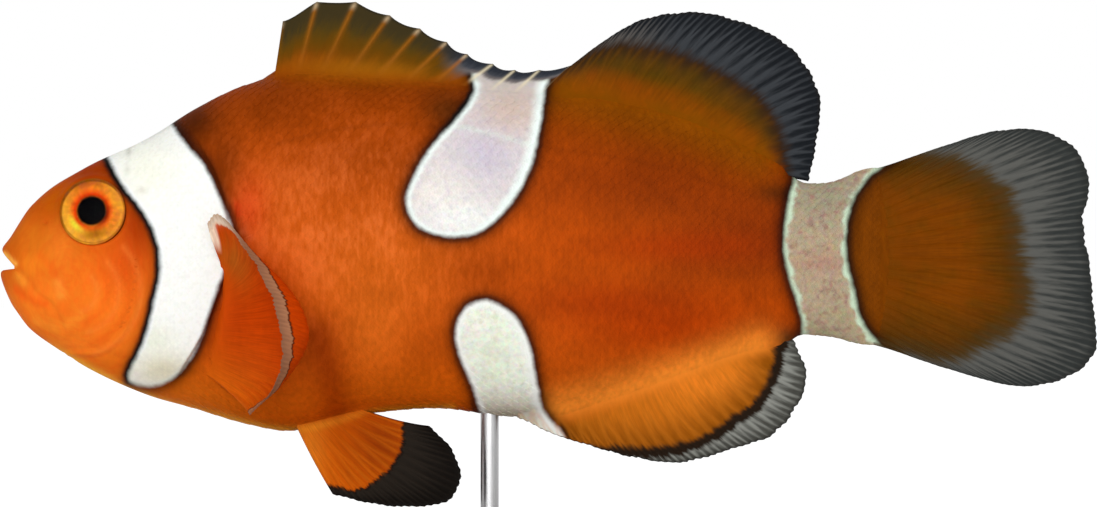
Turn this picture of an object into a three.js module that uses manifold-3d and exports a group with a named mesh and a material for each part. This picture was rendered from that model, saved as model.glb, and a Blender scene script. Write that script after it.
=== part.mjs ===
// Clownfish (Amphiprion ocellaris), a still life-size model on a display stand.
// Millimetres, +Z up. The fish lies along X, snout towards -X, and its left side faces -Y.
// The origin is on the underside of the stand, below the middle of the fish.
import * as THREE from 'three';
import { mergeVertices } from 'three/addons/utils/BufferGeometryUtils.js';
import Module from 'manifold-3d';

const wasm = await Module();
wasm.setup();

// ---------------------------------------------------------------- driving dimensions
const TOTAL_LENGTH = 90;      // snout tip to the edge of the tail fin
const AXIS_HEIGHT = 28.5;     // floor to the fish's long axis
const TAIL_ROOT = 71.3;       // snout tip to the root of the tail fin
const CUT = 0.3;              // gap left by each parting cut
const FIN_EDGE = 0.5;         // thickness of every fin at its edge
const REACH = 60;             // longer than any section, for tools that cut right through

// The body's sections. s is the distance back from the snout tip, top and bottom are heights
// above the long axis, half is the half width, and widest is the height of the greatest width.
const SECTIONS = [
  { s: 0, top: 0.1, bottom: -2.6, half: 1.1, widest: -1.2 },     // lips
  { s: 0.5, top: 1.0, bottom: -3.6, half: 1.75, widest: -1.3 },
  { s: 1.2, top: 2.15, bottom: -4.75, half: 2.35, widest: -1.4 },
  { s: 2.3, top: 3.8, bottom: -6.2, half: 3.0, widest: -1.5 },    // corner of the mouth
  { s: 4.3, top: 5.6, bottom: -7.7, half: 3.9, widest: -1.3 },
  { s: 7.6, top: 7.5, bottom: -9.75, half: 4.95, widest: -1.1 },   // eye
  { s: 12, top: 9.5, bottom: -11.7, half: 5.9, widest: -0.9 },     // cheek
  { s: 16, top: 12.0, bottom: -12.85, half: 6.45, widest: -0.6 },
  { s: 20, top: 13.9, bottom: -14.05, half: 6.75, widest: -0.3 },  // shoulder
  { s: 24, top: 14.7, bottom: -14.65, half: 6.8, widest: 0 },      // first dorsal spine
  { s: 30, top: 14.35, bottom: -13.3, half: 6.6, widest: 0.3 },
  { s: 36, top: 13.95, bottom: -12.8, half: 6.15, widest: 0.4 },   // belly
  { s: 43, top: 13.6, bottom: -13.45, half: 5.45, widest: 0.3 },   // vent
  { s: 50, top: 12.45, bottom: -11.6, half: 4.6, widest: 0.1 },
  { s: 56, top: 10.8, bottom: -9.35, half: 3.75, widest: -0.1 },
  { s: 61, top: 8.4, bottom: -7.5, half: 2.95, widest: -0.3 },
  { s: 65, top: 6.2, bottom: -6.8, half: 2.35, widest: -0.4 },
  { s: 68, top: 5.9, bottom: -6.9, half: 1.9, widest: -0.4 },      // narrowest part of the tail
  { s: TAIL_ROOT, top: 7.1, bottom: -7.6, half: 1.0, widest: -0.3 },
];
const SECTION_POWER = 2.15;   // 2 is an ellipse, and more fills the corners
const RINGS_TO_GILL = 14;     // the head has the closer rings
const RINGS_BEHIND = 20;
const RING_SIDES = 28;

// ---------------------------------------------------------------- where the flesh is parted
// Lines and outlines in the side view, as [distance from the snout tip, height above the axis].
const MOUTH_CORNER = [1.35, -1.2];
const GAPE = [[-1, 0.15], MOUTH_CORNER, [-1, -1.35]];
const UPPER_JAW = [[-2, -1.2], MOUTH_CORNER, [2.1, -0.2], [1.9, 1.2], [1.1, 3.2], [-2, 3.2]];
const LOWER_JAW = [[-2, -1.2], MOUTH_CORNER, [3.4, -3.6], [4.5, -6], [4.7, -10], [-2, -10]];
const GILL_OPENING = [[14.6, 16], [15.9, 10], [17.9, 6], [18.8, 2.2], [18.4, -2], [17, -6], [14.7, -10], [12, -16]];
const GILL_COVER = [[11.0, 3.4], [13.6, 6.4], [16.4, 7.0], [17.6, 4.9], [18.3, 2.1], [17.9, -2], [16.5, -5.9],
  [14.2, -9.5], [10.4, -9.2], [8.6, -7.4], [10.2, -4.6], [11.0, -0.6]];
const GILL_COVER_INSIDE = 2.9;   // the cover's flat inner face, out from the middle of the head
const TAIL_PARTING = [[61.6, 20], [61.9, -20]];

// ---------------------------------------------------------------- fins, in the side view
// Each fin is a fan of rays from a root line on the body to an edge line.
const SPINY_DORSAL = {
  root: [[22.3, 13.0], [34, 12.4], [45.3, 11.6]],
  edge: [[22.9, 18.9], [25.6, 20.8], [29.2, 20.7], [34.5, 18.5], [40.2, 15.6], [43.2, 15.0], [46.8, 15.5]],
  rays: 10, steps: 3, rows: 3, notch: 0.3, thickness: 1.1,
};
const SOFT_DORSAL = {
  root: [[45.7, 11.6], [56, 9], [64.6, 4.6]],
  edge: [[47.1, 15.5], [49.6, 17.5], [52.8, 19.3], [57.2, 19.9], [61.6, 18.9], [65.2, 16.8], [67.3, 13.4],
    [67.3, 10], [66.4, 6.3]],
  rays: 15, steps: 2, rows: 3, notch: 0.2, thickness: 1.1,
};
const ANAL = {
  root: [[42.8, -12.0], [52, -9.2], [64.6, -5.4]],
  edge: [[43.1, -13.9], [45.2, -14.8], [48.6, -15.9], [52.4, -16.9], [56.4, -17.2], [60.2, -16.1], [63.6, -14.9],
    [65.7, -12.3], [66.3, -9.7], [65.3, -7.1]],
  rays: 14, steps: 2, rows: 3, notch: 0.2, thickness: 1.1,
};
const TAIL = {
  root: [[TAIL_ROOT + CUT, 7.1], [TAIL_ROOT + CUT, 0], [TAIL_ROOT + CUT, -7.6]],
  edge: [[72.6, 7.15], [77.8, 8.95], [82.0, 10.15], [85.8, 10.1], [88.4, 8.7], [89.6, 5.6], [89.1, 3.0],
    [89.6, -1.0], [90.0, -4.9], [90.0, -8.2], [87.8, -10.2], [83.9, -10.95], [78, -9.55], [73.0, -7.85]],
  rays: 18, steps: 2, rows: 3, notch: 0.25, thickness: 1.7,
};

// The paired fins, as [distance from the snout tip, out from the middle, height above the axis].
// They start inside the body, swing out past a bend and end at an edge.
const PECTORAL = {
  root: [[17.9, 5.2, 2.9], [18.7, 5.4, 0.2], [19.4, 5.2, -2.6]],
  bend: [[19.6, 8.2, 3.6], [26.2, 8.6, 0.6], [30.2, 9.0, -3.6], [27.6, 8.8, -8.6], [22.2, 7.8, -10.4]],
  edge: [[18.7, 9.4, 2.8], [20.6, 11.6, 0], [22.3, 12.7, -3.4], [23.3, 13.0, -7], [22.9, 12.2, -10.4],
    [20.7, 10.0, -13.1]],
  rays: 14, steps: 1, rows: 6, notch: 0.02, thickness: 0.8,
};
const PELVIC = {
  root: [[23.7, 1.3, -12.8], [26.0, 1.4, -12.6], [28.2, 1.3, -12.2]],
  bend: [[25.5, 2.1, -16.8], [29.5, 2.5, -16.6], [32.2, 2.1, -13.9]],
  edge: [[27.4, 3.3, -19.8], [30.4, 3.9, -20.5], [33.4, 4.0, -20.8], [36.9, 3.7, -20.3], [37.9, 3.3, -18.6],
    [37.2, 2.8, -16.2], [35.3, 2.2, -14.2]],
  rays: 7, steps: 2, rows: 4, notch: 0.03, thickness: 0.9,
};

// ---------------------------------------------------------------- eyes and stand
const EYE = { s: 7.55, h: 3.5, out: 4.0, radius: 2.72, bulge: 1.35, turnedForward: 0.16, turnedUp: 0.14 };
const ROD = { s: 40.2, radius: 0.75, collarRadius: 2, collarHeight: 1.3, intoBody: 3.5, intoBase: 3, top: -9.6 };
const BASE = { centre: -6.5, length: 54, width: 34, height: 5, bevel: 0.6, step: 1.4, sides: 40 };

const FINISH = {
  orange: { color: 0xd8661a, roughness: 0.5, metalness: 0 },
  fin: { color: 0xb35a10, roughness: 0.55, metalness: 0 },
  eye: { color: 0xf2a02c, roughness: 0.15, metalness: 0 },
  steel: { color: 0xb9bcc0, roughness: 0.3, metalness: 1 },
  wood: { color: 0x4a2c1a, roughness: 0.45, metalness: 0 },
};

// ---------------------------------------------------------------- helpers
const model = new THREE.Group();

function place(s, y, h) {
  return new THREE.Vector3(s - TOTAL_LENGTH / 2, y, AXIS_HEIGHT + h);
}

function addNode(name, geometry, finish) {
  const mesh = new THREE.Mesh(geometry, new THREE.MeshStandardMaterial(FINISH[finish]));
  mesh.name = name;
  model.add(mesh);
}

function toSolid(geometry) {
  const bare = geometry.clone();
  bare.deleteAttribute('normal');
  bare.deleteAttribute('uv');
  const merged = mergeVertices(bare, 1e-4);
  const vertProperties = new Float32Array(merged.attributes.position.array);
  const triVerts = new Uint32Array(merged.index.array);
  return new wasm.Manifold(new wasm.Mesh({ numProp: 3, vertProperties, triVerts }));
}

function toGeometry(solid) {
  const mesh = solid.getMesh();
  const geometry = new THREE.BufferGeometry();
  geometry.setAttribute('position', new THREE.BufferAttribute(mesh.vertProperties, 3));
  geometry.setIndex(new THREE.BufferAttribute(mesh.triVerts, 1));
  return geometry;
}

function indexed(points, triangles) {
  const geometry = new THREE.BufferGeometry();
  geometry.setFromPoints(points);
  geometry.setIndex(triangles);
  return geometry;
}

// Moves each corner of a closed outline outwards by the given distance.
function grown(outline, distance) {
  const area = THREE.ShapeUtils.area(outline.map(([x, y]) => new THREE.Vector2(x, y)));
  const outward = area > 0 ? distance : -distance;
  return outline.map(([x, y], i) => {
    const before = outline[(i + outline.length - 1) % outline.length];
    const after = outline[(i + 1) % outline.length];
    const along = new THREE.Vector2(after[0] - before[0], after[1] - before[1]).normalize();
    return [x + along.y * outward, y - along.x * outward];
  });
}

// A prism across the fish, from one distance out from the middle to another.
function acrossSolid(outline, from, to) {
  const shape = new THREE.Shape(outline.map(([s, h]) => new THREE.Vector2(s, h)));
  const geometry = new THREE.ExtrudeGeometry(shape, { depth: to - from, bevelEnabled: false });
  geometry.rotateX(Math.PI / 2);
  const middle = place(0, -from, 0);
  geometry.translate(middle.x, middle.y, middle.z);
  return toSolid(geometry);
}

// All that lies in front of a line that crosses the fish from top to bottom.
function inFrontOf(line, shift) {
  const moved = line.map(([s, h]) => [s + shift, h]);
  const front = [[-REACH, moved[moved.length - 1][1]], [-REACH, moved[0][1]]];
  return acrossSolid([...moved, ...front], -REACH, REACH);
}

// ---------------------------------------------------------------- the whole body
// A smooth run through the sections: cubic pieces whose slopes come from the neighbours.
function sectionAt(s) {
  const last = SECTIONS.length - 1;
  const i = Math.min(last - 1, Math.max(0, SECTIONS.findIndex((section) => section.s >= s) - 1));
  const [a, b] = [SECTIONS[i], SECTIONS[i + 1]];
  const [before, after] = [SECTIONS[Math.max(0, i - 1)], SECTIONS[Math.min(last, i + 2)]];
  const span = b.s - a.s;
  const t = (s - a.s) / span;
  const value = (key) => {
    const slopeA = (b[key] - before[key]) / (b.s - before.s) * span;
    const slopeB = (after[key] - a[key]) / (after.s - a.s) * span;
    return (2 * t ** 3 - 3 * t ** 2 + 1) * a[key] + (t ** 3 - 2 * t ** 2 + t) * slopeA
      + (3 * t ** 2 - 2 * t ** 3) * b[key] + (t ** 3 - t ** 2) * slopeB;
  };
  return { top: value('top'), bottom: value('bottom'), half: value('half'), widest: value('widest') };
}

function ringPoint(s, angle, extra) {
  const section = sectionAt(s);
  const power = 2 / SECTION_POWER;
  const across = Math.sign(Math.sin(angle)) * Math.abs(Math.sin(angle)) ** power;
  const up = Math.sign(Math.cos(angle)) * Math.abs(Math.cos(angle)) ** power;
  const height = up > 0 ? section.top + extra - section.widest : section.widest - section.bottom + extra;
  return place(s, across * (section.half + extra), section.widest + up * height);
}

function ringPlaces() {
  const gill = 18;
  const places = [];
  for (let i = 0; i < RINGS_TO_GILL; i += 1) {
    places.push(SECTIONS[0].s + (gill - SECTIONS[0].s) * (i / RINGS_TO_GILL) ** 1.7);
  }
  for (let i = 0; i <= RINGS_BEHIND; i += 1) {
    places.push(gill + (TAIL_ROOT - gill) * (i / RINGS_BEHIND));
  }
  return places;
}

function bodySolid(extra) {
  const points = [];
  const triangles = [];
  const rings = ringPlaces();
  rings.forEach((s) => {
    for (let j = 0; j < RING_SIDES; j += 1) {
      points.push(ringPoint(s, (2 * Math.PI * j) / RING_SIDES, extra));
    }
  });
  for (let i = 0; i + 1 < rings.length; i += 1) {
    for (let j = 0; j < RING_SIDES; j += 1) {
      const a = i * RING_SIDES + j;
      const b = i * RING_SIDES + ((j + 1) % RING_SIDES);
      triangles.push(a, a + RING_SIDES, b, b, a + RING_SIDES, b + RING_SIDES);
    }
  }
  const lastRing = (rings.length - 1) * RING_SIDES;
  for (let j = 1; j + 1 < RING_SIDES; j += 1) {
    triangles.push(0, j, j + 1);
    triangles.push(lastRing, lastRing + j + 1, lastRing + j);
  }
  return toSolid(indexed(points, triangles));
}

// ---------------------------------------------------------------- fins
function curveThrough(points) {
  const placed = points.map((point) => {
    return point.length === 2 ? place(point[0], 0, point[1]) : place(point[0], -point[1], point[2]);
  });
  return new THREE.CatmullRomCurve3(placed, false, 'centripetal');
}

// A thin closed solid along the surface that pointAt(u, v) gives, u running from root to edge.
function sheetSolid(pointAt, fin) {
  const columns = fin.rays * fin.steps;
  const points = [];
  const triangles = [];
  const step = 1e-3;
  [1, -1].forEach((side) => {
    for (let i = 0; i <= fin.rows; i += 1) {
      for (let j = 0; j <= columns; j += 1) {
        const [u, v] = [i / fin.rows, j / columns];
        const here = pointAt(u, v);
        const alongRay = pointAt(Math.min(u, 1 - step) + step, v).sub(pointAt(Math.min(u, 1 - step), v));
        const acrossRays = pointAt(u, Math.min(v, 1 - step) + step).sub(pointAt(u, Math.min(v, 1 - step)));
        const normal = alongRay.cross(acrossRays).normalize();
        const thickness = fin.thickness + (FIN_EDGE - fin.thickness) * u;
        points.push(here.addScaledVector(normal, (side * thickness) / 2));
      }
    }
  });
  const row = columns + 1;
  const back = (fin.rows + 1) * row;
  const quad = (a, b, c, d) => triangles.push(a, b, c, a, c, d);
  for (let i = 0; i < fin.rows; i += 1) {
    for (let j = 0; j < columns; j += 1) {
      const a = i * row + j;
      quad(a, a + row, a + row + 1, a + 1);
      quad(back + a, back + a + 1, back + a + row + 1, back + a + row);
    }
    const first = i * row;
    const final = first + columns;
    quad(first, back + first, back + first + row, first + row);
    quad(final, final + row, back + final + row, back + final);
  }
  for (let j = 0; j < columns; j += 1) {
    const edge = fin.rows * row + j;
    quad(j, j + 1, back + j + 1, back + j);
    quad(edge, back + edge, back + edge + 1, edge + 1);
  }
  return toSolid(indexed(points, triangles));
}

// How far the edge is drawn in between two ray tips, as a share of the notch.
function scallop(v, rays) {
  return Math.abs(Math.sin(Math.PI * v * rays));
}

function medianFin(fin, body) {
  const root = curveThrough(fin.root);
  const edge = curveThrough(fin.edge);
  const pointAt = (u, v) => {
    const from = root.getPointAt(v);
    const to = edge.getPointAt(v);
    const drawnIn = (fin.notch * scallop(v, fin.rays)) / from.distanceTo(to);
    return from.lerp(to, u * (1 - drawnIn));
  };
  return toGeometry(sheetSolid(pointAt, fin).subtract(body));
}

function pairedFin(fin, body, side) {
  const root = curveThrough(fin.root);
  const bend = curveThrough(fin.bend);
  const edge = curveThrough(fin.edge);
  const pointAt = (u, v) => {
    const [a, b, c] = [root.getPointAt(v), bend.getPointAt(v), edge.getPointAt(v)];
    const t = u * (1 - fin.notch * scallop(v, fin.rays));
    return a.multiplyScalar((1 - t) ** 2).addScaledVector(b, 2 * t * (1 - t)).addScaledVector(c, t * t);
  };
  const left = sheetSolid(pointAt, fin).subtract(body);
  return toGeometry(side === 'left' ? left : left.mirror([0, 1, 0]));
}

// ---------------------------------------------------------------- eyes
function eyeSolid(extra) {
  const geometry = new THREE.SphereGeometry(1, 20, 10);
  geometry.scale(EYE.radius + extra, EYE.radius + extra, EYE.bulge + extra);
  geometry.rotateX(Math.PI / 2);
  geometry.rotateZ(-EYE.turnedForward);
  geometry.rotateX(-EYE.turnedUp);
  const centre = place(EYE.s, -EYE.out, EYE.h);
  geometry.translate(centre.x, centre.y, centre.z);
  return toSolid(geometry);
}

// ---------------------------------------------------------------- stand
function turned(profile, sides) {
  const points = profile.map(([radius, height]) => new THREE.Vector2(radius, height));
  const geometry = new THREE.LatheGeometry(points, sides);
  geometry.rotateX(Math.PI / 2);
  return geometry;
}

function rodSolid(extra) {
  const bottom = BASE.height - ROD.intoBase - extra;
  const collar = BASE.height + CUT;
  const shoulder = collar + ROD.collarHeight;
  const top = AXIS_HEIGHT + ROD.top + extra;
  const radius = ROD.radius + extra;
  const profile = extra > 0
    ? [[0, bottom], [radius, bottom], [radius, top], [0, top]]
    : [[0, bottom], [radius, bottom], [radius, collar], [ROD.collarRadius, collar],
      [ROD.collarRadius, shoulder - 0.5], [ROD.collarRadius - 0.5, shoulder], [radius, shoulder],
      [radius, top - 0.5], [radius - 0.4, top], [0, top]];
  const geometry = turned(profile, 20);
  geometry.translate(ROD.s - TOTAL_LENGTH / 2, 0, 0);
  return toSolid(geometry);
}

function baseSolid() {
  const radius = BASE.length / 2;
  const { bevel, step, height } = BASE;
  const profile = [[0, 0], [radius - bevel, 0], [radius, bevel], [radius, height - 2 * bevel - 1],
    [radius - step / 2, height - bevel - 1], [radius - step, height - 1], [radius - step, height - bevel],
    [radius - step - bevel, height], [0, height]];
  const geometry = turned(profile, BASE.sides);
  geometry.scale(1, BASE.width / BASE.length, 1);
  geometry.translate(BASE.centre, 0, 0);
  return toSolid(geometry);
}

// ---------------------------------------------------------------- assembly
const wholeBody = bodySolid(0);
const clearance = bodySolid(CUT);
const sockets = rodSolid(CUT);

const eyes = { left: eyeSolid(0), right: eyeSolid(0).mirror([0, 1, 0]) };
const eyeSockets = eyeSolid(CUT).add(eyeSolid(CUT).mirror([0, 1, 0]));

const headFront = inFrontOf(GILL_OPENING, 0);
const headClearance = inFrontOf(GILL_OPENING, CUT * 1.15);
const tailFront = inFrontOf(TAIL_PARTING, 0);
const tailClearance = inFrontOf(TAIL_PARTING, CUT);

const wholeHead = wholeBody.intersect(headFront)
  .subtract(acrossSolid(GAPE, -REACH, REACH))
  .subtract(eyeSockets);

const upperJaw = acrossSolid(UPPER_JAW, -REACH, REACH);
const lowerJaw = acrossSolid(LOWER_JAW, -REACH, REACH);
const jawClearance = acrossSolid(grown(UPPER_JAW, CUT), -REACH, REACH)
  .add(acrossSolid(grown(LOWER_JAW, CUT), -REACH, REACH));

const coverLeft = acrossSolid(GILL_COVER, GILL_COVER_INSIDE, REACH);
const slotLeft = acrossSolid(grown(GILL_COVER, CUT), GILL_COVER_INSIDE - CUT, REACH);

addNode('head', toGeometry(wholeHead
  .subtract(jawClearance)
  .subtract(slotLeft)
  .subtract(slotLeft.mirror([0, 1, 0]))), 'orange');
addNode('upper_jaw', toGeometry(wholeHead.intersect(upperJaw)), 'orange');
addNode('lower_jaw', toGeometry(wholeHead.intersect(lowerJaw)), 'orange');
addNode('gill_cover_left', toGeometry(wholeHead.intersect(coverLeft)), 'orange');
addNode('gill_cover_right', toGeometry(wholeHead.intersect(coverLeft.mirror([0, 1, 0]))), 'orange');
addNode('eye_left', toGeometry(eyes.left), 'eye');
addNode('eye_right', toGeometry(eyes.right), 'eye');

addNode('trunk', toGeometry(wholeBody.subtract(headClearance).intersect(tailFront).subtract(sockets)), 'orange');
addNode('tail_base', toGeometry(wholeBody.subtract(tailClearance)), 'orange');

addNode('dorsal_fin_spiny', medianFin(SPINY_DORSAL, clearance), 'fin');
addNode('dorsal_fin_soft', medianFin(SOFT_DORSAL, clearance), 'fin');
addNode('anal_fin', medianFin(ANAL, clearance), 'fin');
addNode('tail_fin', medianFin(TAIL, clearance), 'fin');
for (const side of ['left', 'right']) {
  addNode(`pectoral_fin_${side}`, pairedFin(PECTORAL, clearance, side), 'fin');
  addNode(`pelvic_fin_${side}`, pairedFin(PELVIC, clearance, side), 'fin');
}

addNode('stand_rod', toGeometry(rodSolid(0)), 'steel');
addNode('stand_base', toGeometry(baseSolid().subtract(sockets)), 'wood');

export default model;
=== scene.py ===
"""A clownfish (Amphiprion ocellaris) on a display stand: the looks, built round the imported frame.

Shapes are worked out in the fish's own millimetres: s is the distance back from the snout tip,
y is out from the middle towards the right side, and h is the height above the long axis.
"""

import bpy
import numpy as np
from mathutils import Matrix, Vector


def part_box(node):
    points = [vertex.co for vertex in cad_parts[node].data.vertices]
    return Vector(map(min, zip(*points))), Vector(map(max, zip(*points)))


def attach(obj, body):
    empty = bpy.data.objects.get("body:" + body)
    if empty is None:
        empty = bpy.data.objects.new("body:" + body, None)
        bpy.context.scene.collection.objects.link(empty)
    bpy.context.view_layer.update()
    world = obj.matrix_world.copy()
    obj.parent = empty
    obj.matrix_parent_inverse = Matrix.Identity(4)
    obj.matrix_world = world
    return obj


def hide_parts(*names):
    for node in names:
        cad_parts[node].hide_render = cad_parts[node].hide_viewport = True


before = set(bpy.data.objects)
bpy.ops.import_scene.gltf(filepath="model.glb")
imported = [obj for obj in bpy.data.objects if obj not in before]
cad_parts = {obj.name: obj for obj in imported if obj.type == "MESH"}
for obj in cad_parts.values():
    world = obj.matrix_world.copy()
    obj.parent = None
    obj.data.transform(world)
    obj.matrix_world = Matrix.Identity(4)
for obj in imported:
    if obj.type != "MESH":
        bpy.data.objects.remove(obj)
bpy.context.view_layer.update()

# ---------------------------------------------------------------- sizes
MM = 0.001
SNOUT_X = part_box("lower_jaw")[0].x
EYE_S, EYE_H = 7.78, 3.37
EYE_SOCKET = 2.72           # the socket's radius
AXIS_Z = 28.5 * MM          # the long axis over the floor
TAIL_ROOT = 71.3
COAT_DEPTH = 0.1            # how far the skin lies inside the CAD solids
FACE_END = 16.0             # the face's folds lie ahead of this
BACK_FIN_START = 21.5
ANAL_FIN_START = 42.5
STALK_START = 66.0          # where the slim stalk before the tail fin starts

# The body's sections, as in the CAD: distance, top, bottom, half width and height of the widest place.
SECTIONS = np.array([
    (0, 0.1, -2.6, 1.1, -1.2),
    (0.5, 1.0, -3.6, 1.75, -1.3),
    (1.2, 2.15, -4.75, 2.35, -1.4),
    (2.3, 3.8, -6.2, 3.0, -1.5),
    (4.3, 5.6, -7.7, 3.9, -1.3),
    (7.6, 7.5, -9.75, 4.95, -1.1),
    (12, 9.5, -11.7, 5.9, -0.9),
    (16, 12.0, -12.85, 6.45, -0.6),
    (20, 13.9, -14.05, 6.75, -0.3),
    (24, 14.7, -14.65, 6.8, 0),
    (30, 14.35, -13.3, 6.6, 0.3),
    (36, 13.95, -12.8, 6.15, 0.4),
    (43, 13.6, -13.45, 5.45, 0.3),
    (50, 12.45, -11.6, 4.6, 0.1),
    (56, 10.8, -9.35, 3.75, -0.1),
    (61, 8.4, -7.5, 2.95, -0.3),
    (65, 6.2, -6.8, 2.35, -0.4),
    (68, 5.9, -6.9, 1.9, -0.4),
    (TAIL_ROOT, 7.1, -7.6, 1.0, -0.3),
    (73.2, 6.6, -7.1, 0.55, -0.2),
    (75.4, 4.6, -5.0, 0.2, -0.2),
])
SECTION_POWER = 2.15
BODY_END = SECTIONS[-1, 0]


# ---------------------------------------------------------------- small tools
def smooth(low, high, x):
    """0 below low, 1 above high and a soft step between. The two may be in either order."""
    t = np.clip((x - low) / (high - low), 0, 1)
    return t * t * (3 - 2 * t)


def bump(x, width):
    """A bell that is 1 at 0 and falls off over the width."""
    return np.exp(-(x / width) ** 2)


def hermite(t, start, end, leaving, arriving):
    """A cubic from start to end, which leaves and arrives at the given rates."""
    return ((2 * t**3 - 3 * t**2 + 1) * start + (t**3 - 2 * t**2 + t) * leaving
            + (3 * t**2 - 2 * t**3) * end + (t**3 - t**2) * arriving)


def catmull_rom(p, steps):
    """A centripetal curve from the second to the last but one of a run of points or of rings of points."""
    t = np.linspace(0, 1, steps, endpoint=False).reshape((-1,) + (1,) * (p.ndim - 1))
    parts = []
    for a, b, c, d in zip(p, p[1:], p[2:], p[3:]):
        gaps = (np.linalg.norm(x, axis=-1, keepdims=True) for x in (b - a, c - b, d - c))
        k0, k1, k2 = (np.sqrt(np.maximum(gap, 1e-4)) for gap in gaps)
        leaving = k1 * ((b - a) / k0 - (c - a) / (k0 + k1) + (c - b) / k1)
        arriving = k1 * ((c - b) / k1 - (d - b) / (k1 + k2) + (d - c) / k2)
        parts.append(hermite(t, b, c, leaving, arriving))
    return np.concatenate(parts + [p[-2:-1]])


def to_world(points):
    """Fish millimetres (s, y, h) to metres in the frame."""
    out = np.empty(points.shape)
    out[..., 0] = SNOUT_X + points[..., 0] * MM
    out[..., 1] = points[..., 1] * MM
    out[..., 2] = AXIS_Z + points[..., 2] * MM
    return out


class Curve:
    """A smooth line through points, read by the share of its length, or evenly from point to point."""

    STEPS = 24

    def __init__(self, points, even=False):
        p = np.array(points, float)
        self.points = catmull_rom(np.vstack([2 * p[0] - p[1], p, 2 * p[-1] - p[-2]]), self.STEPS)
        steps = np.linalg.norm(np.diff(self.points, axis=0), axis=1)
        if even:
            steps = np.ones(len(steps))
        self.share = np.concatenate([[0], np.cumsum(steps)]) / steps.sum()

    def at(self, v):
        v = np.asarray(v, float)
        return np.stack([np.interp(v, self.share, column) for column in self.points.T], axis=-1)


def distance_to(points, line):
    """The shortest way from each 2-D point to a run of straight pieces."""
    flat = points.reshape(-1, 2)
    best = np.full(len(flat), 1e9)
    for a, b in zip(line, line[1:]):
        along = b - a
        t = np.clip((flat - a) @ along / (along @ along), 0, 1)
        gap = flat - a - t[:, None] * along
        best = np.minimum(best, np.hypot(gap[:, 0], gap[:, 1]))
    return best.reshape(points.shape[:-1])


def close_to(points, line, reach):
    """Which points lie in the line's box, widened by the reach."""
    low, high = line.min(axis=0) - reach, line.max(axis=0) + reach
    return np.all((points > low) & (points < high), axis=-1)


def inside(points, outline):
    """Which points lie in a closed outline."""
    flat = points.reshape(-1, 2)
    x, y = flat[:, 0], flat[:, 1]
    result = np.zeros(len(flat), bool)
    for (x1, y1), (x2, y2) in zip(outline, np.roll(outline, -1, axis=0)):
        crosses = (y1 > y) != (y2 > y)
        with np.errstate(divide="ignore", invalid="ignore"):
            result ^= crosses & (x < (x2 - x1) * (y - y1) / (y2 - y1) + x1)
    return result.reshape(points.shape[:-1])


def signed_distance(points, outline):
    """How far inside a closed outline each point lies. Outside it is less than 0."""
    closed = np.vstack([outline, outline[:1]])
    gap = distance_to(points, closed)
    return np.where(inside(points, outline), gap, -gap)


def linear(r, g, b):
    """A display colour of 0 to 255 as a linear one."""
    c = np.array([r, g, b], float) / 255
    return np.where(c <= 0.04045, c / 12.92, ((c + 0.055) / 1.055) ** 2.4)


def filled(shape, shade):
    """Linear colours of one display colour."""
    return np.broadcast_to(linear(*shade), tuple(shape) + (3,)).copy()


def tinted(colour, shade, share):
    """Linear colours turned towards a display colour by a share of 0 to 1."""
    return colour + (linear(*shade) - colour) * share[..., None]


# ---------------------------------------------------------------- the body's surface
def section_table():
    """The sections' four measures at close steps along the body."""
    s = np.linspace(0, BODY_END, 1600)
    knots = SECTIONS[:, 0]
    columns = []
    for values in SECTIONS.T[1:]:
        slopes = np.empty(len(knots))
        slopes[1:-1] = (values[2:] - values[:-2]) / (knots[2:] - knots[:-2])
        slopes[0] = (values[1] - values[0]) / (knots[1] - knots[0])
        slopes[-1] = (values[-1] - values[-2]) / (knots[-1] - knots[-2])
        i = np.clip(np.searchsorted(knots, s, side="right") - 1, 0, len(knots) - 2)
        span = knots[i + 1] - knots[i]
        t = (s - knots[i]) / span
        columns.append(hermite(t, values[i], values[i + 1], slopes[i] * span, slopes[i + 1] * span))
    return s, np.array(columns)


SECTION_S, SECTION_VALUES = section_table()


def section(s):
    """Top, bottom, half width and height of the widest place."""
    return [np.interp(s, SECTION_S, column) for column in SECTION_VALUES]


def plain_body(s, angle):
    """A point on the body without its relief. The angle is 0 on the back and pi on the belly."""
    top, bottom, half, widest = section(s)
    power = 2 / SECTION_POWER
    across = np.sign(np.sin(angle)) * np.abs(np.sin(angle)) ** power
    up = np.sign(np.cos(angle)) * np.abs(np.cos(angle)) ** power
    height = np.where(up > 0, top - widest, widest - bottom)
    return np.stack([s, across * half, widest + up * height], axis=-1)


GILL_OPENING = Curve([(14.6, 16), (15.9, 10), (17.9, 6), (18.8, 2.2), (18.4, -2), (17, -6), (14.7, -10),
                      (12, -16)])
CHEEK_EDGE = Curve([(10.6, 4.6), (11.5, 1.5), (11.6, -2), (10.7, -5.6), (8.6, -8.0), (5.6, -8.3)])
JAW_FOLD = Curve([(1.3, -1.25), (2.2, -2.1), (3.1, -3.4), (4.3, -4.3), (5.2, -6.2)])
LIP_FOLD = Curve([(1.9, 1.0), (2.3, -0.2), (2.9, -1.3), (4.2, -2.4)])
THROAT_FOLD = Curve([(4.6, -6.2), (8.6, -8.2), (12.0, -9.2)])
NOSTRIL = (3.75, 2.55)


def gill_s(h):
    """How far back the gill opening lies at a height."""
    points = GILL_OPENING.points[::-1]
    return np.interp(h, points[:, 1], points[:, 0])


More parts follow.
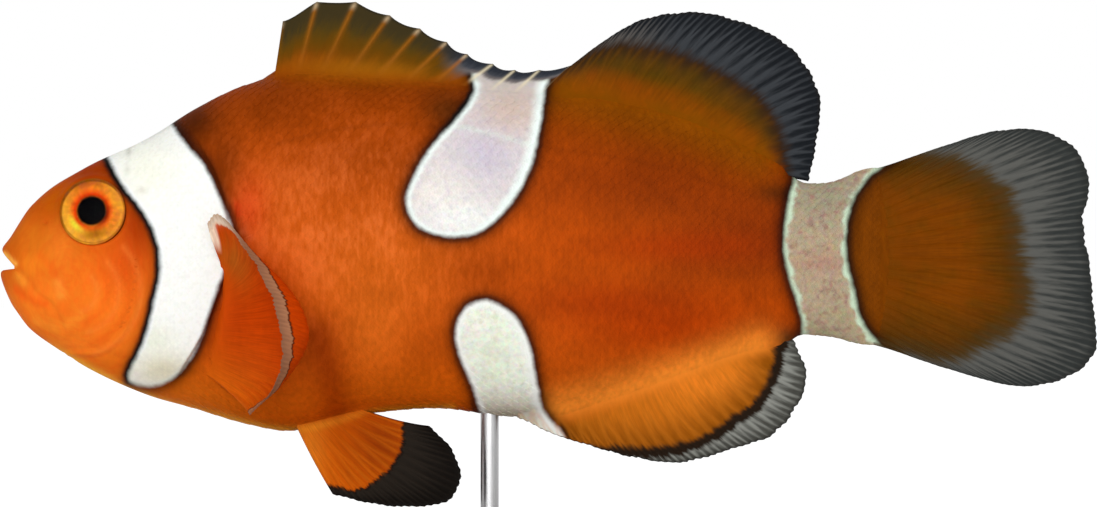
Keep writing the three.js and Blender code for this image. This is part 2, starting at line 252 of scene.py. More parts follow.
def relief(s, h):
    """How far the skin stands out from the plain body, in millimetres."""
    behind_gill = s - gill_s(h)
    gill = smooth(10.5, 7.5, h) * smooth(-10.6, -8.4, h)
    cover = 0.34 * smooth(-6, -0.5, behind_gill) * smooth(0.2, 0, behind_gill)
    groove = 0.12 * smooth(-0.1, 0.1, behind_gill) * smooth(2.0, 0.1, behind_gill)
    out = gill * (cover - groove)
    head = s < FACE_END
    at = np.stack([s, h], axis=-1)[head]
    folds = (CHEEK_EDGE, JAW_FOLD, LIP_FOLD, THROAT_FOLD)
    cheek, jaw, lip, throat = (distance_to(at, fold.points) for fold in folds)
    nostril, eye = (np.hypot(*(at - place).T) for place in (NOSTRIL, (EYE_S, EYE_H)))
    raised = 0.10 * bump(cheek + 0.12, 0.5) - 0.08 * bump(cheek - 0.35, 0.25)
    raised += 0.07 * bump(jaw - 0.5, 0.35) - 0.11 * bump(jaw, 0.22)
    raised -= 0.08 * bump(lip, 0.2) + 0.05 * bump(throat, 0.2)
    raised += 0.07 * bump(nostril - 0.26, 0.11) - 0.3 * bump(nostril, 0.15)
    raised += 0.10 * bump(eye - EYE_SOCKET - 0.23, 0.28) - 0.06 * bump(eye - EYE_SOCKET - 0.78, 0.3)
    raised -= 1.5 * smooth(EYE_SOCKET, EYE_SOCKET - 0.52, eye)
    out[head] += raised
    return out


def keel(s, angle):
    """The ridges that carry the middle fins. The back's one is lower between its two fins."""
    dip = 0.4 * smooth(36, 41, s) * smooth(49, 46, s)
    back = (1 - dip) * smooth(BACK_FIN_START - 0.5, BACK_FIN_START + 2.5, s) * smooth(1.4, 0.9, angle)
    belly = 1.2 * smooth(ANAL_FIN_START, ANAL_FIN_START + 3.5, s) * smooth(1.7, 2.2, angle)
    return (back + belly) * smooth(STALK_START, STALK_START - 2.5, s)


def cross_of(points):
    """The way out of a grid of points, from its two directions."""
    along, around = np.gradient(points, axis=(0, 1))
    way = np.cross(along, around)
    return way / np.maximum(np.linalg.norm(way, axis=-1, keepdims=True), 1e-12)


class Surface:
    """The skin of the right side, tabled by distance and angle, and read between the entries."""

    STEP = 0.1
    TURNS = 400

    def __init__(self):
        self.s = np.arange(0.4, BODY_END, self.STEP)
        self.angles = np.linspace(0, np.pi, self.TURNS + 1)
        s, angle = np.meshgrid(self.s, self.angles, indexing="ij")
        plain = plain_body(s, angle)
        out = relief(s, plain[..., 2]) - COAT_DEPTH + keel(s, angle) * bump(plain[..., 1], 1.0)
        self.points = plain + cross_of(plain) * out[..., None]
        self.points[:, [0, -1], 1] = 0
        self.normals = cross_of(self.points)
        steps = np.linalg.norm(np.diff(plain[..., 1:], axis=1), axis=-1)
        run = np.concatenate([np.zeros((len(self.s), 1)), np.cumsum(steps, axis=1)], axis=1)
        self.arcs = run[:, self.TURNS // 2, None] - run

    def read(self, table, s, angle):
        """An entry of a table between its four neighbours."""
        i = np.clip((s - self.s[0]) / self.STEP, 0, len(self.s) - 1.001)
        j = np.clip(angle / np.pi * self.TURNS, 0, self.TURNS - 0.001)
        i0, j0 = i.astype(int), j.astype(int)
        di, dj = (i - i0), (j - j0)
        if table.ndim == 3:
            di, dj = di[..., None], dj[..., None]
        near = table[i0, j0] * (1 - dj) + table[i0, j0 + 1] * dj
        far = table[i0 + 1, j0] * (1 - dj) + table[i0 + 1, j0 + 1] * dj
        return near * (1 - di) + far * di

    def at(self, s, angle):
        """Points and the ways out of them, where a minus angle is on the left side."""
        point = self.read(self.points, s, np.abs(angle))
        normal = self.read(self.normals, s, np.abs(angle))
        side = np.where(angle < 0, -1.0, 1.0)
        point[..., 1] *= side
        normal[..., 1] *= side
        return point, normal / np.linalg.norm(normal, axis=-1, keepdims=True)

    def rows_at(self, s):
        """The nearest rows of the tables."""
        return np.clip(np.rint((np.asarray(s) - self.s[0]) / self.STEP).astype(int), 0, len(self.s) - 1)

    def crest(self, s, end):
        """The height of the back's ridge, with end 1, or of the belly's, with end -1."""
        return np.interp(s, self.s, self.points[:, 0 if end > 0 else -1, 2])

    def shoulder(self, s, end, depth):
        """Half the width at a depth below a ridge, at each distance, and how fast it grows there."""
        out = []
        for row in self.points[self.rows_at(s)]:
            side = row[:self.TURNS // 2] if end > 0 else row[:self.TURNS // 2:-1]
            fall = np.abs(side[:, 2] - side[0, 2])
            low, here, high = np.interp([depth - 0.1, depth, depth + 0.1], fall, side[:, 1])
            out.append((here, (high - low) / 0.2))
        return np.array(out).T

    def half_width(self, s, h):
        """How far out the skin lies at a height."""
        rows = self.points[self.rows_at(s)]
        return np.array([np.interp(-up, -row[:, 2], row[:, 1]) for row, up in zip(rows, h)])

    def angle_at(self, s, arc):
        """The angle at a way up round the body from its widest line."""
        rows = self.rows_at(s)
        out = np.empty(len(s))
        for row in np.unique(rows):
            here = rows == row
            out[here] = np.interp(-arc[here], -self.arcs[row], self.angles)
        return out


SURFACE = Surface()


# ---------------------------------------------------------------- markings
def closed_curve(*points):
    """A smooth closed outline, without its first point again at the end."""
    around = Curve([points[-1], *points, points[0], points[1]])
    return around.points[Curve.STEPS:-Curve.STEPS - 1]


HEAD_BAR = closed_curve(
    (12.3, 12.2), (8.0, 9.5), (8.95, 7.7), (10.2, 5.5), (11.35, 4.05), (12.4, 2.5), (13.2, 0.1),
    (13.2, -1.9), (12.72, -4.0), (12.15, -6.4), (11.4, -8.2), (10.65, -9.6), (10.6, -10.5), (12.2, -10.95),
    (14.1, -10.4), (16.15, -8.0), (17.5, -4.3), (18.55, -1.45), (19.4, 0.6), (19.1, 2.4), (18.48, 3.9),
    (16.85, 7.3), (15.5, 8.8),
)
UPPER_BAR = closed_curve(
    (38.6, 16.4), (38.7, 14.7), (38.9, 13.3), (37.6, 11.2), (35.8, 9.2), (34.35, 7.0), (33.37, 4.4),
    (34.2, 2.35), (36.8, 1.35), (39.5, 1.8), (41.85, 3.9), (43.5, 6.8), (44.4, 10.5), (44.78, 13.3),
    (45.4, 16.2), (42, 18.5),
)
LOWER_BAR = closed_curve(
    (39.95, -3.8), (38.35, -4.3), (37.4, -6.3), (37.72, -8.3), (38.8, -11), (39.7, -13.5), (43.0, -16.5),
    (46.4, -15.4), (44.65, -12.8), (44.05, -10.2), (43.6, -7.85), (42.65, -5.55), (41.6, -4.5),
)
TAIL_BAR = closed_curve(
    (66.2, 8.5), (65.0, 5.4), (64.5, 3.0), (64.35, 0), (65.0, -2.8), (65.8, -5.3), (66.2, -8.5),
    (74.6, -9.4), (72.4, -7.6), (70.75, -5.4), (70.1, -2.8), (69.52, -0.3), (69.55, 2.3), (70.1, 4.4),
    (71.3, 6.2), (74.0, 8.6),
)
# Each bar: outline, widths of its dark margin and bright rim, colours inside, of the rim and of the freckles.
BARS = {
    "head": dict(outline=HEAD_BAR, margin=0.26, rim_width=0.5, spots=0.08,
                 pale=(255, 255, 250), rim=(251, 255, 253), spot=(226, 228, 216)),
    "upper": dict(outline=UPPER_BAR, margin=0.3, rim_width=0.7, spots=0.22,
                  pale=(226, 218, 216), rim=(244, 255, 250), spot=(190, 180, 204)),
    "lower": dict(outline=LOWER_BAR, margin=0.3, rim_width=0.6, spots=0.45,
                  pale=(246, 250, 236), rim=(252, 255, 250), spot=(214, 218, 188)),
    "tail": dict(outline=TAIL_BAR, margin=0.22, rim_width=0.6, spots=0.75,
                 pale=(184, 164, 136), rim=(204, 226, 198), spot=(158, 122, 108)),
}
# Washes over the bars' pale colour: where, how far along and up they reach, colour and strength.
PALE_WASHES = {
    "foot of the head bar": (13.4, -9.6, 2.6, 1.6, (234, 227, 198), 0.95),
    "above that foot": (12.9, -7.0, 1.6, 1.3, (236, 240, 216), 0.6),
    "first mark of the head bar": (10.6, 8.4, 0.22, 0.5, (150, 148, 140), 0.6),
    "second mark of the head bar": (10.5, 6.9, 0.24, 0.4, (170, 170, 160), 0.5),
    "third mark of the head bar": (11.8, 5.2, 0.4, 0.26, (160, 156, 136), 0.6),
    "middle of the upper bar": (39.9, 8.6, 2.6, 2.8, (206, 197, 214), 0.8),
    "front of the upper bar": (36.2, 4.6, 2.4, 2.2, (246, 240, 232), 0.8),
    "top of the upper bar": (42.0, 11.9, 3.2, 2.3, (213, 189, 175), 0.9),
    "edge of the upper bar": (42.0, 14.4, 4.0, 0.8, (176, 170, 160), 0.8),
    "bottom of the upper bar": (38.0, 2.8, 3.4, 1.6, (249, 250, 246), 0.9),
    "top of the head bar": (12.2, 6.8, 2.6, 2.6, (254, 254, 236), 0.8),
    "middle of the lower bar": (40.6, -8.6, 1.2, 2.6, (236, 244, 218), 0.7),
    "foot of the lower bar": (41.8, -13.4, 3.4, 1.6, (206, 194, 174), 0.9),
    "blush of the tail bar": (67.3, -0.8, 2.2, 0.9, (180, 122, 108), 0.5),
    "foot of the tail bar": (68.6, -6.2, 3.4, 2.6, (172, 158, 128), 0.85),
    "top of the tail bar": (68, 4.8, 4, 2.4, (158, 150, 126), 0.9),
}
# Places where a bar's dark margin is wider or, with a minus, fades: distance, height, reach, how much.
MARGINS = [(9.6, 7.2, 1.6, 0.1), (15.2, -9.6, 0.5, 0.1), (12.7, -11.4, 1.6, -1.3), (39.2, -12.6, 0.6, 0.3)]
CREASE_ACROSS = np.array([(36.6, 10.6), (40.2, 9.9), (44.4, 8.6)])   # a faint line over the upper bar
BAR_INK = (20, 16, 14)
TAIL_BROWN = (122, 60, 0)
GROUND = (190, 76, 4)
# Washes over the orange, in the same form.
WASHES = {
    # The darker washes over the back are partly the fish's own darker top and partly painted shade.
    "back": (36, 13.5, 26, 4.0, (142, 56, 0), 0.95),
    "crest": (33, 15.4, 13, 1.3, (155, 92, 8), 0.97),
    "edge of the back fin": (42.2, 15.6, 4.0, 0.8, (52, 54, 60), 0.95),
    "front of the back": (22, 12.6, 4, 2.6, (122, 46, 0), 0.7),
    "rear of the back": (60, 10, 14, 4.4, (124, 52, 0), 0.95),
    "rear": (62, 1.5, 10, 6.0, (128, 45, 0), 0.92),
    "stripe of the rear": (56, 0.5, 7, 1.4, (180, 50, 0), 0.45),
    "upper flank": (33, 8.0, 9, 2.8, (155, 60, 0), 0.8),
    "middle flank": (30.5, -1.8, 9, 6.6, (214, 98, 18), 0.95),
    "between the bars": (40, -1.5, 3.4, 2.2, (164, 64, 2), 0.8),
    "low flank": (47, -7, 14, 4.0, (200, 85, 12), 0.7),
    "rear low": (55, -6.2, 8, 2.5, (182, 58, 0), 0.8),
    # painted shadow under the soft back fin's rear end
    "painted shadow under the soft fin's end": (63.8, 5.0, 1.8, 0.9, (72, 33, 6), 0.85),
    # painted shadow over the anal fin's rear end
    "painted shadow over the anal fin's end": (64.6, -7.0, 1.2, 1.0, (62, 34, 16), 0.95),
    "side of the snout": (4.9, 0.4, 1.5, 2.4, (255, 144, 44), 0.65),
    "lower cheek": (6.2, -7.5, 3.4, 1.2, (255, 140, 44), 0.7),
    "above the eye": (7.2, 7.0, 2.6, 0.7, (150, 54, 0), 0.7),
    # lighter belly: partly its own paler orange, partly painted light against the shade under the body
    "belly": (33, -12, 8, 3.0, (212, 96, 10), 0.9),
    "breast": (17, -12, 6, 2.8, (220, 110, 16), 0.9),
    "behind the gill": (20.5, 3.5, 1.6, 2.6, (202, 58, 4), 0.9),
    "behind the pectoral": (24.5, 1.0, 3.0, 4.0, (214, 92, 14), 0.6),
    # painted light: the red glow of light through the pectoral fin on the skin under it
    "painted glow under the pectoral fin": (20.5, -5, 3.4, 5.0, (206, 66, 4), 0.9),
    "upper rear": (52, 5.8, 9, 3.0, (134, 48, 0), 0.75),
    "low rear": (50, -4.0, 8, 1.9, (152, 42, 0), 0.6),
    "side of the lower flank": (30.6, -6.0, 2.6, 4.0, (212, 100, 20), 0.85),
    "shade by the upper bar": (36.7, 11.8, 2.0, 1.7, (70, 34, 4), 0.75),
    "nape": (16.0, 10.8, 2.4, 2.6, (62, 24, 2), 0.9),
    "nape edge": (18.6, 7.6, 1.6, 3.0, (122, 46, 0), 0.75),
    # brighter cheek: partly its own orange, partly painted light on the side of the head
    "cheek": (8.4, -4.0, 5.4, 5.6, (255, 122, 30), 0.98),
    "chin": (3.0, -4.2, 3.2, 2.6, (255, 130, 34), 0.85),
    "throat": (10.0, -10.0, 4.4, 1.5, (232, 110, 20), 0.7),
    "snout": (2.6, 1.4, 2.0, 2.0, (220, 110, 22), 0.9),
    "brow": (4.6, 4.8, 2.0, 2.0, (190, 86, 4), 0.9),
    # darker forehead: partly its own tone, partly painted shade on the top of the head
    "forehead": (7.4, 7.4, 3.2, 1.8, (158, 52, 0), 0.95),
    "behind the eye": (11.3, 2.0, 1.3, 2.8, (158, 50, 0), 0.9),
    "below the eye": (10.2, -0.6, 2.0, 2.6, (226, 80, 14), 0.7),
    "side of the lip": (2.8, -0.8, 1.2, 1.0, (250, 134, 30), 0.7),
    "foot of the breast": (20.5, -10.6, 4.0, 2.4, (204, 90, 10), 0.8),
}


def cheek_arcs():
    """Faint arcs over the cheek, light and red by turns."""
    arcs = {}
    middle = np.array([6.4, -3.1])
    turns = np.linspace(-1.3, 0.75, 7)
    for number, radius in enumerate((1.7, 2.6, 3.5, 4.4, 5.3)):
        line = middle + radius * np.stack([np.cos(turns), np.sin(turns)], axis=-1)
        arcs[f"cheek arc {number}"] = (Curve(line), 0.26, ((255, 140, 56), (236, 88, 14))[number % 2], 0.3)
    return arcs


# Soft lines drawn over the orange: where they run, half width, colour and strength.
ACCENTS = {
    # painted rim light: a bright yellow-orange line along the belly's lower edge
    "belly": (Curve([(4, -7.7), (12, -11.75), (18, -13.45), (24, -14.6), (30, -13.3), (37, -12.8)]),
              0.4, (255, 172, 44), 0.9),
    # partly the fin base's own golden orange, partly painted light against the shade where the body turns
    # under
    "anal base": (Curve([(43.8, -13.2), (52, -11.0), (62.2, -7.6)]), 1.6, (255, 146, 46), 0.95),
    # painted shadow cast by the pectoral fin on the flank
    "painted shadow of the pectoral fin": (Curve([(26.3, -6.6), (27.0, -9.2), (27.6, -12.6)]), 1.5, (150, 50, 0), 0.75),
    "soft dorsal base": (Curve([(45.8, 13.4), (56, 11.0), (62.2, 8.4)]), 2.3, (136, 70, 0), 0.92),
    "lateral line": (Curve([(22.5, 8.9), (28, 10.2), (35, 10.5), (44, 8.8), (53, 7.4), (62, 4.6)]),
                     0.16, (104, 38, 0), 0.2),
    "first red mark": (Curve([(19.5, 4.1), (19.75, 3.2)]), 0.24, (226, 56, 12), 0.6),
    "second red mark": (Curve([(20.0, 1.9), (20.6, 1.3)]), 0.2, (240, 110, 60), 0.5),
    "upper lip": (Curve([(0.35, 0.0), (0.8, -0.4), (1.3, -0.85)]), 0.2, (255, 178, 76), 0.85),
    "lower lip": (Curve([(1.6, -1.9), (1.95, -2.4)]), 0.42, (248, 164, 50), 0.45),
    "jaw": (Curve([(1.4, -3.0), (2.6, -3.75), (3.8, -4.2)]), 0.42, (240, 84, 12), 0.5),
    "cheek crease": (Curve([(3.4, -0.2), (4.5, -1.4), (5.2, -2.6)]), 0.42, (242, 90, 16), 0.4),
    "cheek light": (Curve([(4.9, -2.4), (5.1, -3.4)]), 0.42, (255, 160, 58), 0.5),
    "below the lips": (Curve([(3.0, -5.6), (5.2, -6.0), (6.6, -5.2)]), 0.5, (255, 146, 44), 0.5),
} | cheek_arcs()
WHORL_S, WHORL_H = 6.4, -2.0          # the middle of the cheek's fine whorls


def washed(colour, s, h, washes):
    """The colours with washes over them."""
    for along, up, reach, rise, shade, strength in washes.values():
        share = strength * np.exp(-((s - along) / reach) ** 2 - ((h - up) / rise) ** 2)
        colour = tinted(colour, shade, share)
    return colour


def body_ground(s, h):
    """The body's orange, which turns to the tail fin's brown inside the last bar."""
    colour = washed(filled(s.shape, GROUND), s, h, WASHES)
    at = np.stack([s, h], axis=-1)
    for line, width, shade, strength in ACCENTS.values():
        near = close_to(at, line.points, 2.5 * width)
        share = strength * bump(distance_to(at[near], line.points), width)
        colour[near] = tinted(colour[near], shade, share)
    return tinted(colour, TAIL_BROWN, smooth(STALK_START + 0.5, STALK_START + 2.5, s))


def markings(s, h, bars=tuple(BARS)):
    """How far inside a pale bar each place lies, with the widths and the colours that go with that bar."""
    at = np.stack([s, h], axis=-1)
    depth = np.full(s.shape, -9.0)
    values = {key: np.zeros(s.shape) for key in ("margin", "rim_width", "spots")}
    values |= {key: np.ones(s.shape + (3,)) for key in ("pale", "rim", "spot")}
    for name in bars:
        bar = BARS[name]
        near = close_to(at, bar["outline"], 3)
        gap = np.full(s.shape, -9.0)
        gap[near] = signed_distance(at[near], bar["outline"])
        first = gap > depth
        depth[first] = gap[first]
        for key in values:
            values[key][first] = linear(*bar[key]) if isinstance(bar[key], tuple) else bar[key]
    crease = 0.5 * bump(distance_to(at, CREASE_ACROSS), 0.2)
    values["pale"] = tinted(washed(values["pale"], s, h, PALE_WASHES), (226, 240, 230), crease)
    foot_of_first = smooth(-7.2, -9.4, h) * smooth(17, 15, s)
    top_of_second = smooth(13.9, 14.4, h) * smooth(30, 32, s)
    values["rim"] = tinted(values["rim"], (226, 228, 214), foot_of_first)
    values["rim"] = tinted(values["rim"], (206, 212, 200), top_of_second)
    values["rim_width"] *= 1 + 0.7 * smooth(38, 43, s) * smooth(50, 47, s)
    for along, up, reach, more in MARGINS:
        values["margin"] += more * bump(np.hypot(s - along, h - up), reach)
    nape = bump(np.hypot(s - 17.0, h - 10.5), 3.6)
    front_corner = bump(np.hypot(s - 38.0, h - 12.0), 3.2)
    fade = 0.3 + 0.5 * nape + 0.1 * smooth(25, 20, s) + 0.2 * smooth(60, 63, s)
    ink = 0.5 + 0.5 * np.maximum(smooth(14.6, 13.6, s), front_corner)
    return dict(values, bar=depth, fade=fade, ink=ink)


def shaded(colour, s, depth):
    """The colour with a soft shade of brown round the bars."""
    return colour * (1 - 0.74 * bump(depth, 0.62 + 0.2 * smooth(12, 16, s)))[..., None]


def painted(points):
    """All colour values of the body's skin at points of it."""
    s, y, h = points.T
    values = markings(s, h)
    # painted shade: the pale bar and its rim turn grey along the head's top ridge, where the head turns away
    ridge = 0.6 * smooth(2.2, 0.2, np.abs(y)) * smooth(8.0, 11.5, h) * smooth(22, 19, s)
    for key in ("pale", "rim"):
        values[key] = tinted(values[key], (206, 203, 196), ridge)
    along, up = s - WHORL_S, h - WHORL_H
    values |= dict(
        ground=shaded(body_ground(s, h), s, values["bar"]),
        grain=0.3 + 0.7 * smooth(9, 20, s),
        bloom=0.2 * np.exp(-((s - 28) / 9) ** 2 - ((h - 2.5) / 7) ** 2),
        whorl=np.stack([2.4 * np.hypot(along, up), 2.0 * np.arctan2(up, along), y], axis=-1),
    )
    return values


# ---------------------------------------------------------------- meshes
def grid(rows, columns, closed=False):
    """Quads over a grid of points, and the place of each corner on a flat sheet."""
    last = columns if closed else columns - 1
    i, j = np.meshgrid(np.arange(rows - 1), np.arange(last), indexing="ij")
    i = i[..., None] + np.array([0, 1, 1, 0])
    j = j[..., None] + np.array([0, 0, 1, 1])
    faces = (i * columns + j % columns).reshape(-1, 4)
    return faces, np.stack([j / last, i / (rows - 1)], axis=-1).reshape(-1, 4, 2)


def spare_corners(corners, more):
    """Places on the bake sheet, with further ones in its unused corner."""
    return np.concatenate([corners.reshape(-1, 2), np.full((more, 2), 0.999)])


def faces_out(points, faces, centre):
    """Whether faces of four corners point away from a place inside them."""
    way = np.cross(points[faces[:, 2]] - points[faces[:, 0]], points[faces[:, 3]] - points[faces[:, 1]])
    return (way * (points[faces].mean(axis=1) - centre)).sum() > 0


def add_mesh(name, points, faces, corners, slot, material, replaced=(), **values):
    """A smooth piece that rides on the body. The corners are its places on the flat bake sheet."""
    mesh = bpy.data.meshes.new(name)
    mesh.from_pydata(to_world(points).tolist(), [], faces)
    sheet = mesh.uv_layers.new(name="OFBake")
    sheet.data.foreach_set("uv", np.asarray(corners, np.float32).ravel())
    for key, value in values.items():
        value = np.asarray(value, np.float32)
        kind, field = ("FLOAT", "value") if value.ndim == 1 else ("FLOAT_VECTOR", "vector")
        mesh.attributes.new(key, kind, "POINT").data.foreach_set(field, value.ravel())
    mesh.polygons.foreach_set("use_smooth", np.ones(len(mesh.polygons), bool))
    mesh.materials.append(material)
    mesh.update()
    piece = bpy.data.objects.new(name, mesh)
    bpy.context.collection.objects.link(piece)
    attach(piece, "root")
    if replaced:
        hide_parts(*replaced)
    return piece


# ---------------------------------------------------------------- materials
class Shader:
    """A material whose nodes are added one call at a time. Each call gives back an output."""

    def __init__(self, name, **settings):
        self.material = bpy.data.materials.new(name)
        self.material.use_nodes = True
        self.nodes = self.material.node_tree.nodes
        self.links = self.material.node_tree.links
        self.surface = self.nodes["Principled BSDF"]
        for key, value in settings.items():
            self.set(self.surface.inputs[key.replace("_", " ")], value)

    def set(self, socket, value):
        """Give a socket a constant, or link an output to it."""
        if isinstance(value, bpy.types.NodeSocket):
            self.links.new(value, socket)
        elif socket.type == "RGBA" and len(value) == 3:
            socket.default_value = (*value, 1)
        else:
            socket.default_value = value

    def node(self, kind, inputs, out=0, **settings):
        """One more node, of which an output is given back."""
        node = self.nodes.new("ShaderNode" + kind)
        for key, value in settings.items():
            setattr(node, key, value)
        for key, value in inputs.items():
            self.set(node.inputs[key], value)
        return node.outputs[out]

    def value(self, name):
        """A number kept at each point of the mesh."""
        return self.node("Attribute", {}, "Fac", attribute_name=name)

    def colour(self, name):
        """A colour or a place kept at each point of the mesh."""
        return self.node("Attribute", {}, "Vector", attribute_name=name)

    def place(self):
        return self.node("TexCoord", {}, "Object")

    def math(self, operation, a, b=0.0):
        return self.node("Math", {0: a, 1: b}, operation=operation)

    def sum(self, a, b):
        return self.math("ADD", a, b)

    def product(self, a, b):
        return self.math("MULTIPLY", a, b)

    def difference(self, a, b):
        return self.math("SUBTRACT", a, b)

    def swing(self, noise, amount):
        """A noise of about 0 to 1 as one about 0, as wide as the amount."""
        return self.product(self.difference(noise, 0.5), amount)

    def step(self, value, low, high, start=0.0, end=1.0):
        """A soft step of the value between low and high."""
        ends = {"Value": value, 1: low, 2: high, 3: start, 4: end}
        return self.node("MapRange", ends, interpolation_type="SMOOTHSTEP")

    def noise(self, scale, place=None, detail=2.0, rough=0.5, out=0):
        """Noise as a number, or with out 1 as a colour."""
        inputs = {"Vector": place or self.place(), "Scale": scale, "Detail": detail, "Roughness": rough}
        return self.node("TexNoise", inputs, out)

    def mix(self, share, a, b, kind="MIX"):
        return self.node("Mix", {0: share, 6: a, 7: b}, 2, data_type="RGBA", blend_type=kind)

    def gained(self, colour, gain, red=None):
        """The colour times a gain, where its red may have one of its own."""
        tone = self.node("CombineColor", {0: gain if red is None else red, 1: gain, 2: gain})
        return self.mix(1.0, colour, tone, "MULTIPLY")

    def scaled(self, vector, size):
        return self.node("VectorMath", {0: vector, 1: size}, operation="MULTIPLY")

    def bump(self, height, distance, strength):
        return self.node("Bump", {"Height": height, "Distance": distance, "Strength": strength})

    def finish(self, colour, rough, normal=None):
        self.set(self.surface.inputs["Base Color"], colour)
        self.set(self.surface.inputs["Roughness"], rough)
        if normal:
            self.set(self.surface.inputs["Normal"], normal)
        return self.material


PER_MM = 1 / MM
OLIVE = (0.66, 0.96, 0.8)   # what a fin's web is multiplied by in its olive patches


def mottled(shader, colour, amount=0.16):
    """Clouds, short upright dashes and pale flecks over a colour, by each place's grain and bloom."""
    clouds = shader.noise(0.22 * PER_MM, detail=3)
    dashes = shader.noise(PER_MM, shader.scaled(shader.place(), (2.6, 2.6, 0.9)))
    both = shader.sum(shader.product(clouds, 0.8), shader.product(dashes, 0.7))
    share = shader.step(both, 0.45, 1.05, -amount, amount)
    gain = shader.sum(shader.product(share, shader.value("grain")), 1.0)
    flecks = shader.product(shader.step(both, 0.62, 1.0), shader.value("bloom"))
    return shader.gained(shader.mix(flecks, colour, linear(238, 140, 80)), gain)


def bar_inside(shader, plain):
    """The pale colour inside a bar, with freckles and specks, and its bright rim where it isn't plain yet."""
    spots = shader.value("spots")
    freckles = shader.step(shader.noise(1.5 * PER_MM, detail=3), 0.5, 0.72)
    inner = shader.mix(shader.product(freckles, spots), shader.colour("pale"), shader.colour("spot"))
    specks = shader.noise(2.0 * PER_MM, detail=3, rough=0.7, out=1)
    lighter = {0: specks, 1: (0.9, 0.9, 0.9), 2: (0.55, 0.55, 0.55)}
    specks = shader.node("VectorMath", lighter, operation="MULTIPLY_ADD")
    inner = shader.mix(spots, inner, specks, "MULTIPLY")
    pearl = shader.step(shader.noise(2.4 * PER_MM, detail=1), 0.3, 0.7, -0.05, 0.025)
    pearl = shader.product(shader.product(pearl, shader.sum(spots, 0.7)), plain)
    return shader.gained(shader.mix(plain, shader.colour("rim"), inner), shader.sum(pearl, 1.0))


def with_bars(shader, colour):
    """The colour, with the pale bars, their bright rims and their dark margins over it."""
    depth = shader.sum(shader.value("bar"), shader.swing(shader.noise(1.3 * PER_MM), 0.24))
    past = shader.sum(depth, shader.value("margin"))
    ink = shader.step(past, shader.product(shader.value("fade"), -1.0), 0.1)
    dark = shader.mix(shader.product(ink, shader.value("ink")), colour, linear(*BAR_INK))
    blotches = shader.swing(shader.noise(0.9 * PER_MM, detail=3), 1.6)
    blotches = shader.product(blotches, shader.value("spots"))
    rim_width = shader.value("rim_width")
    plain = shader.step(shader.sum(depth, blotches), shader.product(rim_width, 0.2), rim_width)
    return shader.mix(shader.step(depth, -0.2, 0.32), dark, bar_inside(shader, plain))


def skin_material():
    """The skin's colours, with fine whorls over the cheek, where there are no scales, and painted shade
    inside the mouth.
    """
    shader = Shader("clownfish_skin", Specular_IOR_Level=0.02, Subsurface_Weight=0.1, Subsurface_Scale=0.0006)
    ground = mottled(shader, shader.colour("ground"))
    drift = shader.scaled(shader.noise(0.3 * PER_MM, out=1), (5.0, 3.0, 0.0))
    whorl = shader.node("VectorMath", {0: shader.colour("whorl"), 1: drift}, operation="ADD")
    creases = shader.step(shader.noise(1.0, whorl, detail=3, rough=0.6), 0.36, 0.64, -0.11, 0.11)
    smoothness = shader.difference(1.0, shader.value("grain"))
    gain = shader.sum(shader.product(creases, smoothness), 1.0)
    colour = with_bars(shader, shader.gained(ground, gain, red=1.0))
    # painted shade: the inside of the mouth turns dark brown
    colour = shader.mix(shader.value("dark"), colour, linear(64, 20, 4))
    pores = shader.noise(7 * PER_MM)
    soft = shader.noise(1.1 * PER_MM)
    height = shader.sum(shader.product(pores, 0.4), soft)
    rough = shader.step(soft, 0.2, 0.8, 0.42, 0.56)
    return shader.finish(colour, rough, shader.bump(height, 0.00004, 0.5))


def scale_material():
    """The skin's colours, with each scale a little lighter at its rear edge and ringed as it grew."""
    shader = Shader("clownfish_scales", Specular_IOR_Level=0.025)
    colour = with_bars(shader, mottled(shader, shader.colour("ground")))
    edge = shader.value("edge")
    rim = shader.step(edge, 0.55, 1.0, 0.985, 1.04)
    tint = shader.step(shader.value("seed"), 0, 1, 0.98, 1.02)
    rings = shader.math("SINE", shader.product(edge, 34.0))
    colour = shader.gained(colour, shader.product(rim, tint))
    return shader.finish(colour, 0.46, shader.bump(rings, 0.000006, 0.5))


SKIN = skin_material()
SCALE = scale_material()


# ---------------------------------------------------------------- the skin
AROUND = 240                # points in each ring of the skin
TURNS = (np.arange(AROUND) / AROUND * 2 - 1) * np.pi
GILL_RING = 17.0            # the ring that is bent to follow the gill opening
RINGS = np.concatenate([
    np.arange(2.9, 16.6, 0.14), np.arange(16.6, 17.5, 0.06), np.arange(17.5, 24, 0.25),
    np.arange(24, 66, 0.5), np.arange(66, BODY_END - 0.1, 0.25),
])
# The first rings of the head: distance, and how much further back they lie at the corner of the mouth.
FIRST_RINGS = [(3.6, 0), (2.9, 0), (2.2, 0.5), (1.3, 0.9), (0.75, 1.1)]
# The lips and the mouth from there inwards: distance and what is added at the corner, above and below,
# half width, then height and what is added at the corner, above and below.
LIP_RINGS = [
    (0.16, 1.06, 0.04, 1.18, 2.22, 0.42, -1.40, -1.95, 0.65),
    (0.20, 1.06, 0.06, 1.20, 2.16, 0.12, -1.20, -1.52, 0.26),
    (0.52, 0.88, 0.30, 1.08, 2.02, -0.18, -0.94, -1.36, 0.13),
    (0.95, 0.58, 0.85, 0.66, 1.80, -0.38, -0.76, -1.52, 0.32),
    (1.6, 0.3, 1.5, 0.4, 1.5, -0.55, -0.62, -1.80, 0.60),
    (2.6, 0, 2.6, 0, 1.1, -0.6, -0.6, -1.90, 0.68),
    (3.4, 0, 3.4, 0, 0.5, -0.95, -0.25, -1.45, 0.25),
]
MOUTH_STEPS = 6             # rings from one main ring to the next
INNER_RINGS = 30            # how many rings, from the back of the mouth on, may be darkened by painted shade


def ring_points(at):
    """Rings round the body, bent near the gill opening to follow it."""
    start, angle = np.meshgrid(at, TURNS, indexing="ij")
    window = smooth(8, GILL_RING, start) * smooth(26, GILL_RING, start)
    s = start
    for _ in range(4):
        h = plain_body(s, np.abs(angle))[..., 2]
        s = start + (gill_s(h) - GILL_RING) * window
    return SURFACE.at(s, angle)[0]


